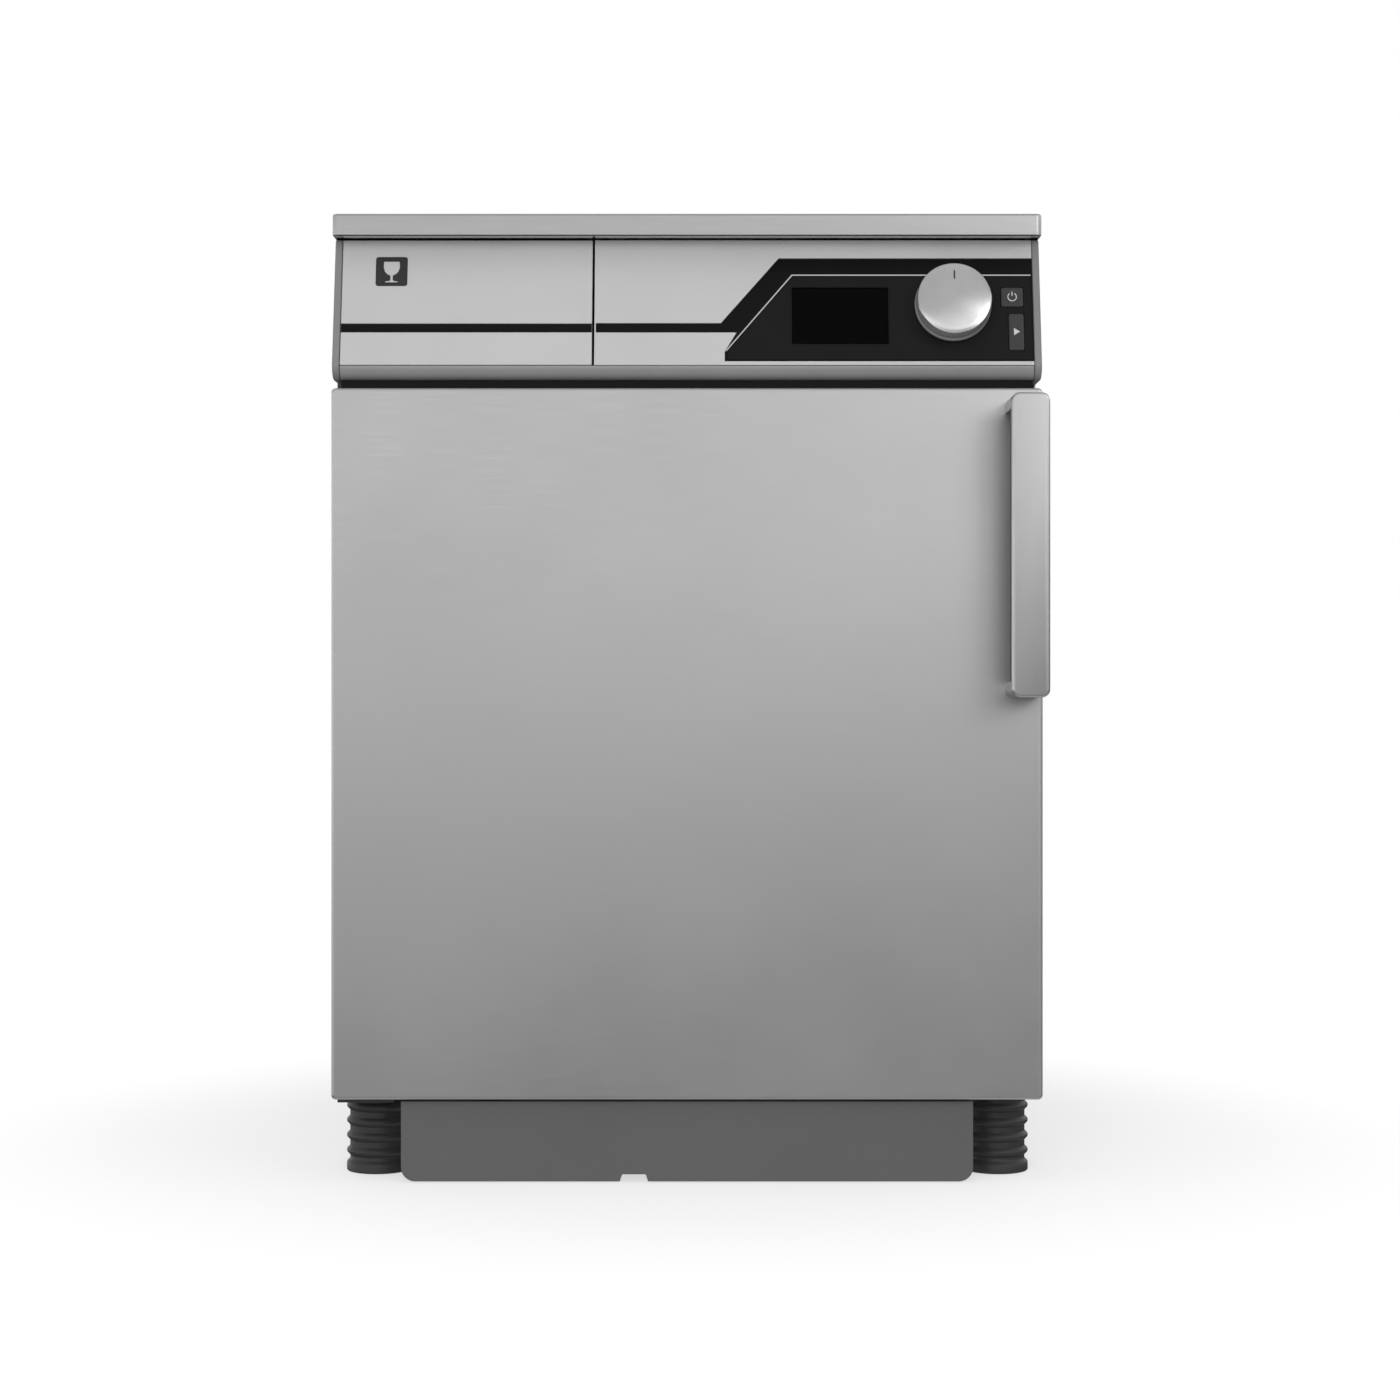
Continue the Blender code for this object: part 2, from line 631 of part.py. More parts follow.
def make_controls():
    """Knob on its encoder, two push buttons, and the board behind them."""
    place = face_place(KNOB_X, KNOB_Z)
    profile = [
        (0.003, -0.0060), (0.003, 0.0010), (KNOB_R - 0.003, 0.0010), (KNOB_R, 0.0025),
        (KNOB_R - 0.0015, KNOB_HEIGHT - 0.003), (KNOB_R - 0.0040, KNOB_HEIGHT),
        (KNOB_R - 0.0070, KNOB_HEIGHT - 0.0008),
    ]
    turned("program_knob", profile, "chrome", sides=32, **place)
    for name, area in (("power_button", POWER_BUTTON), ("start_button", START_BUTTON)):
        outer = face_rect(area, -BUTTON_CLEAR)
        rings = [at_z(outer, -0.0050), at_z(outer, 0.0008), at_z(face_rect(area, -0.0013), 0.0014)]
        loft(name, rings, "grey_plastic", **face_place())
    low, high = face_height(0.7010), face_height(0.7880)
    board = box("control_board", (0.030, low, -0.0240), (0.2880, high, -0.0220), "board", **face_place())
    for name, area, front in (
        ("display_module", (0.0860, 0.1740, 0.7080, 0.7620), -0.0050),
        ("power_switch", (0.2700, 0.2820, 0.7460, 0.7560), -0.0110),
        ("start_switch", (0.2730, 0.2850, 0.7150, 0.7250), -0.0110),
        ("encoder", (0.2170, 0.2340, 0.7350, 0.7520), -0.0070),
        ("board_relays", (0.0400, 0.0700, 0.7080, 0.7350), -0.0120),
    ):
        x0, x1, z0, z1 = area
        low_corner = (x0, face_height(z0), -0.0230)
        high_corner = (x1, face_height(z1), front)
        join(board, box(name, low_corner, high_corner, "board", **face_place()))


def make_drawer():
    """Detergent drawer: front, two-compartment box and the housing it slides in."""
    end = SEAM_X - SEAM / 2
    front = prism_x("drawer_front", fascia_profile(FACE_LOW_Z), -FASCIA_END, end, "silver")
    left, right = -FASCIA_END - 0.01, end + 0.01
    groove = [(left, ARM_LOW_Z), (right, ARM_LOW_Z), (right, ARM_TOP_Z), (left, ARM_TOP_Z)]
    outline = [(x, face_height(z)) for x, z in groove]
    cut(front, prism_z("drawer_groove", outline, -0.0012, 0.01, "silver", **face_place()))
    x0, x1, y0, y1, z0, z1 = -0.2700, -0.0900, FASCIA_BACK + GAP, -0.045, 0.699, 0.776
    wall, divider = 0.002, -0.150
    lattice(
        "drawer_box",
        [x0, x0 + wall, divider - wall / 2, divider + wall / 2, x1 - wall, x1],
        [y0, y0 + wall, y1 - wall, y1],
        [z0, z0 + wall, z1],
        lambda i, j, k: k == 0 or i in (0, 2, 4) or j in (0, 2),
        "white_plastic",
    )
    centre = ((x0 + x1) / 2, (z0 + z1) / 2 + 0.002)
    outer = rounded(x1 - x0 + 0.011, z1 - z0 + 0.013, 0.003, centre, steps=1)
    inner = rounded(x1 - x0 + 0.006, z1 - z0 + 0.008, 0.002, centre, steps=1)
    rings = [at_y(outer, -0.036), at_y(outer, -0.2235), at_y(inner, -0.2235), at_y(inner, -0.039)]
    loft("drawer_housing", rings, "white_plastic")


def make_lock():
    """Electric lock behind the frame, with a pocket that the striker enters."""
    body = box("door_lock", (0.120, -0.2118, 0.6435), (0.180, -0.150, 0.6765), "black_plastic")
    cut(body, box("lock_pocket", (0.139, -0.22, 0.6465), (0.161, -0.188, 0.6655), "black_plastic"))


def make_sump():
    """Bowl under the chamber floor, with ports on both sides and holes for the heater legs."""
    top = CHAMBER_FLOOR - SHEET - GAP
    profile = [
        (0.020, 0.120), (0.045, 0.120), (0.078, 0.150), (0.078, top), (0.096, top),
        (0.096, top - 0.003), (0.081, top - 0.003), (0.081, 0.149), (0.047, 0.117), (0.020, 0.117),
    ]
    place = {"location": (0, WASH_Y, 0)}
    sump = turned("sump", profile, "grey_plastic", sides=24, **place)
    port = cylinder(
        "sump_ports", 0.010, -0.12, 0.12, "steel", 16,
        location=(0, WASH_Y, SUMP_PORT_Z), rotation=(0, math.pi / 2, 0),
    )
    cut(sump, port)
    for turn in (HEATER_START, HEATER_END):
        x, y = HEATER_R * math.cos(turn), HEATER_R * math.sin(turn)
        hole = cylinder("heater_leg_hole", 0.0052, 0.10, 0.158, "steel", 12, location=(x, WASH_Y + y, 0))
        cut(sump, hole)
    basket = [
        (0.016, 0.2168), (0.077, 0.2168), (0.077, 0.2148), (0.055, 0.2148), (0.055, 0.150),
        (0.016, 0.150), (0.016, 0.152), (0.053, 0.152), (0.053, 0.2138), (0.016, 0.2138),
    ]
    turned("sump_filter", basket, "grey_plastic", sides=24, closed=True, **place)


def make_heater():
    """Open ring of heating tube between the sump wall and the filter, with two legs."""
    points = []
    for k in range(13):
        turn = HEATER_START + (HEATER_END - HEATER_START) * k / 12
        points.append((HEATER_R * math.cos(turn), WASH_Y + HEATER_R * math.sin(turn), 0.168))
    legs = [[(x, y, z) for z in (0.106, 0.135, 0.158)] for x, y, _ in (points[0], points[-1])]
    tube("wash_heater", [*legs[0], *points[1:-1], *legs[1][::-1]], 0.0038, "chrome", steps=1)


def arm_outline():
    """Plan of a spray arm: two tapering blades with round tips."""
    root, tip = 0.020, 0.012
    points = []
    for side in (1, -1):
        centre = side * (ARM_R - tip)
        for k in range(7):
            turn = -math.pi / 2 + math.pi * k / 6
            points.append((centre + side * tip * math.cos(turn), side * tip * math.sin(turn)))
        points.append((0, side * root))
    return points


def make_spray_arms():
    """Lower and upper arm, each turning on its post under a retaining nut."""
    place = {"location": (0, WASH_Y, 0)}
    lower_post = [
        (POST_R, 0.1203), (POST_R, 0.2172), (0.024, 0.2172), (0.024, 0.2200),
        (0.018, 0.2200), (0.018, 0.2380), (POST_R, 0.2380), (POST_R, 0.2566),
    ]
    turned("lower_arm_post", lower_post, "steel", sides=24, **place)
    upper_post = [
        (POST_R, 0.5964), (POST_R, 0.6150), (0.018, 0.6150), (0.018, CHAMBER_CEILING - GAP),
        (POST_R, CHAMBER_CEILING - GAP), (POST_R, 0.676),
    ]
    turned("upper_arm_post", upper_post, "steel", sides=24, **place)
    for name, arm_low, arm_high, boss_low, boss_high, nut_low, nut_high in (
        ("lower", 0.2410, 0.2545, 0.2386, 0.2564, 0.2569, 0.2650),
        ("upper", 0.5985, 0.6120, 0.5966, 0.6144, 0.5880, 0.5961),
    ):
        arm = prism_z(f"{name}_spray_arm", arm_outline(), arm_low, arm_high, "steel", **place)
        boss = cylinder(f"{name}_boss", 0.027, boss_low, boss_high, "steel", 24, **place)
        low, high = boss_low - 0.01, boss_high + 0.01
        bore = cylinder(f"{name}_bore", POST_R + 0.0012, low, high, "steel", 24, **place)
        join(arm, boss)
        cut(arm, bore)
        cylinder(f"{name}_arm_nut", 0.018, nut_low, nut_high, "grey_plastic", 8, **place)


def make_rack():
    """Open-topped basket for glasses, standing on the chamber's rails."""
    size, wall, low, high = 0.498, 0.004, RAIL_Z + GAP, RAIL_Z + 0.102
    centre = (0, WASH_Y)
    outer = rounded(size, size, 0.012, centre, steps=2)
    inner = rounded(size - 2 * wall, size - 2 * wall, 0.008, centre, steps=2)
    rings = [at_z(inner, low + wall), at_z(inner, high), at_z(outer, high), at_z(outer, low)]
    loft("glass_rack", rings, "blue_plastic")


def make_wash_pump():
    """Volute, motor and the rotor whose shaft runs through both, on an axis along Y."""
    lying = (math.pi / 2, 0, 0)  # the piece's own +Z points to -Y
    place = {"location": PUMP, "rotation": lying}
    case = [(0.010, -0.022), (0.050, -0.022), (0.050, 0.022), (0.0085, 0.022), (0.0085, 0.018)]
    case += [(0.044, 0.018), (0.044, -0.018), (0.010, -0.018)]
    volute = turned("pump_volute", case, "black_plastic", closed=True, **place)
    outlet = cylinder(
        "volute_outlet", 0.008, 0.03, 0.06, "black_plastic", 16,
        location=PUMP, rotation=(0, math.pi / 2, 0),
    )
    cut(volute, outlet)
    motor = [
        (0.0085, 0.0225), (0.030, 0.0225), (0.045, 0.030),
        (0.045, 0.110), (0.038, 0.118), (0.0085, 0.118),
    ]
    turned("pump_motor", motor, "steel", closed=True, **place)
    rotor = cylinder("pump_rotor", 0.0070, -0.010, 0.112, "steel", 16, **place)
    vanes = []
    for k in range(24):
        turn = 2 * math.pi * k / 24
        radius = 0.038 if k % 4 < 2 else 0.018
        vanes.append((radius * math.cos(turn), radius * math.sin(turn)))
    join(rotor, prism_z("impeller", vanes, -0.008, 0.008, "steel", **place))


def make_water_parts():
    """Drain pump, boiler, inlet valve, dosing pump and the recessed connection plate."""
    across = (0, math.pi / 2, 0)  # the piece's own +Z points to +X
    drain = [(0.026, -0.180), (0.030, -0.176), (0.030, -0.118), (0.012, -0.114), (0.012, -0.0818)]
    turned("drain_pump", drain, "black_plastic", sides=20, location=(0, WASH_Y, SUMP_PORT_Z), rotation=across)
    shell = []
    radius, low, high, dome = 0.058, -0.120, 0.195, 0.020
    for k in range(4):
        turn = math.pi / 2 * k / 3
        shell.append((0.020 + (radius - 0.020) * math.sin(turn), low + dome * (1 - math.sin(turn))))
    shell += [(r, high - (z - low)) for r, z in shell[::-1]]
    turned("boiler", shell, "steel", sides=28, location=(0, 0.232, 0.140), rotation=across)
    inlet = {"location": (INLET_X, 0, INLET_Z), "rotation": (-math.pi / 2, 0, 0)}
    valve = box("inlet_valve", (-0.258, 0.205, 0.138), (-0.222, 0.250, 0.180), "white_plastic")
    join(
        valve,
        cylinder("valve_coil", 0.013, 0.170, 0.205, "white_plastic", 16, location=(-0.240, 0.222, 0)),
        cylinder("valve_neck", 0.0132, 0.240, REAR - 0.001, "white_plastic", 24, **inlet),
    )
    cut(valve, cylinder("valve_bore", 0.0090, 0.300, REAR + 0.01, "white_plastic", 20, **inlet))
    dosing = box("dosing_pump", (-0.235, -0.160, 0.0757), (-0.175, -0.110, 0.150), "black_plastic")
    head = cylinder(
        "dosing_head", 0.024, -0.195, -0.155, "grey_plastic", 20,
        location=(-0.205, 0, 0.118), rotation=(-math.pi / 2, 0, 0),
    )
    join(dosing, head)
    centre = (RECESS_X, RECESS_Z)
    inner = rounded(RECESS_W, RECESS_H, 0.008, centre)
    outer = rounded(RECESS_W + 2 * SHEET, RECESS_H + 2 * SHEET, 0.0095, centre)
    flange = rounded(RECESS_W + 0.016, RECESS_H + 0.016, 0.004, centre)
    back, front = REAR - 0.035, REAR - 0.0020
    rings = [
        at_y(inner, back), at_y(inner, front), at_y(flange, front), at_y(flange, front - SHEET),
        at_y(outer, front - SHEET), at_y(outer, back - SHEET),
    ]
    plate = loft("connection_plate", rings, "steel")
    cut(plate, cylinder("inlet_hole", 0.0145, 0.27, 0.30, "steel", 20, **inlet))
    make_fittings(back + GAP)


def make_fittings(base):
    """Drain outlet and mains gland, pointing to the rear."""
    reach = REAR - 0.001 - base
    fittings = {
        "drain_outlet": (-0.192, 0.136, "black_plastic", [
            (0.007, 0), (0.014, 0), (0.014, 0.006), (0.010, 0.006), (0.011, reach - 0.004),
            (0.0095, reach), (0.007, reach),
        ]),
        "mains_gland": (-0.163, 0.168, "black_plastic", [
            (0.005, 0), (0.012, 0), (0.012, 0.006), (0.010, 0.007), (0.010, 0.014),
            (0.007, 0.020), (0.005, 0.020),
        ]),
    }
    for name, (x, z, mat, profile) in fittings.items():
        turned(
            name, profile, mat, sides=20, closed=True,
            location=(x, base, z), rotation=(-math.pi / 2, 0, 0),
        )


def make_hoses():
    """Hoses between the sump, pumps, boiler, drain outlet and the upper post."""
    side = CHAMBER_W / 2 + 0.022
    ceiling = 0.662
    recess = REAR - 0.035 - SHEET - 0.001
    tube("suction_hose", [
        (0.0830, WASH_Y, SUMP_PORT_Z), (0.110, WASH_Y - 0.002, 0.160),
        (0.150, 0.030, 0.138), (PUMP.x, 0.008, 0.129), (PUMP.x, PUMP.y + 0.0230, PUMP.z),
    ], 0.012, "rubber")
    tube("riser_hose", [
        (PUMP.x + 0.0503, PUMP.y, PUMP.z), (0.245, PUMP.y, 0.130), (side - 0.003, PUMP.y, 0.155),
        (side, PUMP.y, 0.210), (side, PUMP.y, 0.420), (side, PUMP.y, 0.610),
        (side - 0.012, -0.025, 0.650), (0.230, -0.010, ceiling), (0.120, 0.035, ceiling),
        (0.050, WASH_Y, ceiling), (POST_R + 0.0004, WASH_Y, ceiling),
    ], 0.010, "rubber", steps=3)
    tube("rinse_hose", [
        (0.1954, 0.232, 0.140), (0.225, 0.232, 0.142), (side - 0.004, 0.232, 0.170),
        (side, 0.232, 0.230), (side, 0.232, 0.420), (side, 0.232, 0.615),
        (side - 0.015, 0.225, 0.652), (0.200, 0.205, ceiling), (0.060, 0.140, ceiling),
        (0.000, 0.095, ceiling), (0, WASH_Y + POST_R + 0.0004, ceiling),
    ], 0.007, "rubber", steps=3)
    tube("drain_hose", [
        (-0.150, WASH_Y + 0.0304, SUMP_PORT_Z), (-0.150, 0.110, 0.162), (-0.155, 0.170, 0.147),
        (-0.180, 0.240, 0.137), (-0.192, 0.265, 0.136), (-0.192, recess, 0.136),
    ], 0.009, "rubber")


def build():
    clear_scene()
    make_worktop()
    make_side_panel("side_panel_left", -1)
    make_side_panel("side_panel_right", 1)
    make_rear_panel()
    make_base_tray()
    make_feet()
    make_plinth()
    make_front_frame()
    make_chamber()
    make_gasket()
    make_hinges()
    make_door()
    make_fascia()
    make_trim()
    make_controls()
    make_drawer()
    make_lock()
    make_sump()
    make_heater()
    make_spray_arms()
    make_rack()
    make_wash_pump()
    make_water_parts()
    make_hoses()


build()
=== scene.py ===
"""Looks of the under-counter glass washer: fine meshes, procedural materials, light and camera."""

import json
import math
import random

import bmesh
import bpy
from mathutils import Matrix, Vector
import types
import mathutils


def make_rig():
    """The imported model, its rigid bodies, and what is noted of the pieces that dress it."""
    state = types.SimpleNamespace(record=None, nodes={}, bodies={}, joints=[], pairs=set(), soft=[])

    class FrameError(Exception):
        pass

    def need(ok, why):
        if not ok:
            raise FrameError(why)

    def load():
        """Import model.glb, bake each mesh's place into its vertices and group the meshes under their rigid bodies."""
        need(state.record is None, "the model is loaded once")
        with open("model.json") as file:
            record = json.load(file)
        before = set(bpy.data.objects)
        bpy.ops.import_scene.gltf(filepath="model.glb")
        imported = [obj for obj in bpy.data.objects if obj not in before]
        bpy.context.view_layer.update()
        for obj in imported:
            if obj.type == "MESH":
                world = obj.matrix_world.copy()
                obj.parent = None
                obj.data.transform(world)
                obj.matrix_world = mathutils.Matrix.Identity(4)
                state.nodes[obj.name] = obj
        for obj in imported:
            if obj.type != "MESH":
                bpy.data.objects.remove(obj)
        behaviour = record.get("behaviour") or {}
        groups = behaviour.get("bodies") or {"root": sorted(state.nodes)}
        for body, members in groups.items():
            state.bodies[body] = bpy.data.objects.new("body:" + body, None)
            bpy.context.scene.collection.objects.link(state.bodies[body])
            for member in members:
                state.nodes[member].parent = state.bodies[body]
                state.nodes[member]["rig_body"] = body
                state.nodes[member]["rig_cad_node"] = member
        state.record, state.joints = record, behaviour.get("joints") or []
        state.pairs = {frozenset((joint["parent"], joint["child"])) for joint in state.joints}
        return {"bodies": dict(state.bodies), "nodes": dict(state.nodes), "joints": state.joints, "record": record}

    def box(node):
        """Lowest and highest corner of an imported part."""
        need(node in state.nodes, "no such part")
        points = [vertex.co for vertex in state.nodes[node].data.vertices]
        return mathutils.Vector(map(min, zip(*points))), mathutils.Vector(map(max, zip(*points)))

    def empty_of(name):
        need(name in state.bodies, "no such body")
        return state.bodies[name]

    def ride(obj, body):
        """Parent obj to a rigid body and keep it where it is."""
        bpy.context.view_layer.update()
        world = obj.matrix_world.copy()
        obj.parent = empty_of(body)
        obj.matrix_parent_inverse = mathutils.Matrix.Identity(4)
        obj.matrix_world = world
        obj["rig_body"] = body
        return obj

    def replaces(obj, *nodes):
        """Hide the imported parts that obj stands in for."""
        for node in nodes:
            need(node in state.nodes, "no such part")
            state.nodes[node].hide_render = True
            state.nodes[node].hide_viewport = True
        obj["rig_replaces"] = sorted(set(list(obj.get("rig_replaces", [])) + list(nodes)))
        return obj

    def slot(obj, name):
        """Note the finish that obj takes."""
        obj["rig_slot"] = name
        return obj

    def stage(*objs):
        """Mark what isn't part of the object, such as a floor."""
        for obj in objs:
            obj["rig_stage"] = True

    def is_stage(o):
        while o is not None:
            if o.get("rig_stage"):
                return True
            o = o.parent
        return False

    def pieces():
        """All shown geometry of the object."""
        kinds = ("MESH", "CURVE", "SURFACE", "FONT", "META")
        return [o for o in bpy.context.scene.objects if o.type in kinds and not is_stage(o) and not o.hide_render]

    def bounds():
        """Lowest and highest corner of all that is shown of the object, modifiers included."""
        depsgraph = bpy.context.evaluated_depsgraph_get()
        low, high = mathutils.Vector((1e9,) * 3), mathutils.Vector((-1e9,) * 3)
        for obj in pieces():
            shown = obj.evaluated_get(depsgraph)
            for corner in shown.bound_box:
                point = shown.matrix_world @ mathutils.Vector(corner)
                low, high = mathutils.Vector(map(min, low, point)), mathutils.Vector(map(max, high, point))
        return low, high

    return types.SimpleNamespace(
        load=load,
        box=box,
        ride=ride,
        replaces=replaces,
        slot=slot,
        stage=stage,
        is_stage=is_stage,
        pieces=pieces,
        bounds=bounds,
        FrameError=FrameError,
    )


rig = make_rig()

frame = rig.load()
CAD_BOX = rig.bounds()
NODES = frame["nodes"]
CABINET, DOOR, DRAWER = "cabinet", "door", "detergent_drawer"
SHEET = 0.0015  # thickness of the chamber's and the cabinet's sheet
FINE = 0.0003  # clearance between neighbouring pieces
WASH_Y = 0.05  # axis of the spray arms
WASH_AXIS = Matrix.Translation((0, WASH_Y, 0))
SHARP = 35  # degrees; edges over this are shaded as sharp

# ------------------------------ materials


def feed(tree, node, inputs):
    """Give each named input a value, or the output of another node."""
    for name, source in inputs.items():
        if isinstance(source, bpy.types.NodeSocket):
            tree.links.new(source, node.inputs[name])
        else:
            node.inputs[name].default_value = source
    return node


def made(tree, kind, inputs, output, **settings):
    """One output of a new shader node."""
    node = tree.nodes.new("ShaderNode" + kind)
    for name, value in settings.items():
        setattr(node, name, value)
    return feed(tree, node, inputs).outputs[output]


def principled(name):
    mat = bpy.data.materials.new(name)
    mat.use_nodes = True
    return mat, mat.node_tree, mat.node_tree.nodes["Principled BSDF"]


def rgb(colour):
    """A single number stands for a grey."""
    return (colour, colour, colour) if isinstance(colour, float) else colour


def own_space(tree):
    """Coordinates in metres that ride with the piece."""
    return made(tree, "TexCoord", {}, "Object")


def noise(tree, scale, detail, stretch=(1, 1, 1)):
    """Noise in object space, stretched for brushed or drawn surfaces."""
    mapped = made(tree, "Mapping", {"Vector": own_space(tree), "Scale": stretch}, "Vector")
    return made(tree, "TexNoise", {"Vector": mapped, "Scale": scale, "Detail": detail}, "Fac")


def ranged(tree, source, inputs, **settings):
    """Map Range node; inputs that aren't given keep Blender's 0 or 1."""
    return made(tree, "MapRange", {"Value": source, **inputs}, "Result", **settings)


def spread(tree, source, low, high):
    """Map the useful middle of a noise onto low..high."""
    return ranged(tree, source, {"From Min": 0.3, "From Max": 0.7, "To Min": low, "To Max": high})


def around(tree, source, middle, reach=0.04):
    """Roughness that varies by +-reach with the source."""
    return spread(tree, source, middle - reach, middle + reach)


def mixed(tree, factor, a, b):
    return made(tree, "Mix", {"Factor": factor, "A": a, "B": b}, "Result", data_type="RGBA")


def shade(tree, source, colour, change):
    """Colour that varies by +-change with the source."""
    low, high = ((*[min(1, c * (1 + sign * change)) for c in rgb(colour)], 1) for sign in (-1, 1))
    return mixed(tree, source, low, high)


def bump(tree, source, strength, distance=0.0002):
    return made(tree, "Bump", {"Height": source, "Strength": strength, "Distance": distance}, "Normal")


def metal(name, colour, rough, stretch=(1, 1, 1), grain=2400, depth=0.03, change=0.03, metallic=1.0):
    """Sheet metal: fine grain drawn along one axis, with faint clouding and handling marks."""
    mat, tree, shader = principled(name)
    fine, cloud = noise(tree, grain, 2, stretch), noise(tree, 7, 4)
    marks = spread(tree, cloud, -0.025, 0.025)
    feed(tree, shader, {
        "Base Color": shade(tree, spread(tree, cloud, 0, 1), colour, change),
        "Roughness": made(tree, "Math", {0: around(tree, fine, rough), 1: marks}, "Value", operation="ADD"),
        "Normal": bump(tree, fine, depth), "Metallic": metallic,
    })
    return mat


def moulded(name, colour, rough, grain=1400, depth=0.12, change=0.06, metallic=0.0, specular=0.5):
    """Moulded plastic or rubber: eroded-tool grain, slight tone changes."""
    mat, tree, shader = principled(name)
    fine, cloud = noise(tree, grain, 2), noise(tree, 18, 3)
    feed(tree, shader, {
        "Base Color": shade(tree, spread(tree, cloud, 0, 1), colour, change),
        "Roughness": around(tree, cloud, rough), "Normal": bump(tree, fine, depth),
        "Metallic": metallic, "Specular IOR Level": specular,
    })
    return mat


def spun(name, colour, rough):
    """Turned metal with rings round the piece's own Z axis."""
    mat, tree, shader = principled(name)
    wave = made(tree, "TexWave", {"Vector": own_space(tree), "Scale": 900, "Distortion": 1.5, "Detail": 2},
                "Fac", wave_type="RINGS", rings_direction="Z")
    feed(tree, shader, {
        "Base Color": shade(tree, spread(tree, noise(tree, 40, 3), 0, 1), colour, 0.04),
        "Roughness": around(tree, wave, rough, 0.05), "Normal": bump(tree, wave, 0.12, 0.0001),
        "Metallic": 1.0,
    })
    return mat


def galvanised(name, colour, rough):
    """Hot-dipped zinc: crystals of slightly different tone and gloss."""
    mat, tree, shader = principled(name)
    cells = made(tree, "TexVoronoi", {"Vector": own_space(tree), "Scale": 95}, "Color")
    tone = made(tree, "SeparateColor", {"Color": cells}, "Red")
    gloss = ranged(tree, tone.node.outputs["Green"], {"To Min": rough - 0.05, "To Max": rough + 0.05})
    feed(tree, shader, {
        "Base Color": shade(tree, tone, colour, 0.07), "Roughness": gloss,
        "Normal": bump(tree, noise(tree, 600, 3), 0.04), "Metallic": 0.9,
    })
    return mat


def perforated(name, colour, pitch, hole):
    """Fine perforated sheet: dark round holes on a square pitch."""
    mat, tree, shader = principled(name)
    centres = {"Vector": own_space(tree), "Scale": 1 / pitch, "Randomness": 0.0}
    away = made(tree, "TexVoronoi", centres, "Distance")
    solid = made(tree, "Math", {0: away, 1: hole}, "Value", operation="GREATER_THAN")
    feed(tree, shader, {
        "Base Color": mixed(tree, solid, (0.01, 0.01, 0.01, 1), (*rgb(colour), 1)),
        "Normal": bump(tree, solid, 0.6, 0.0005), "Metallic": 0.9, "Roughness": 0.35,
    })
    return mat


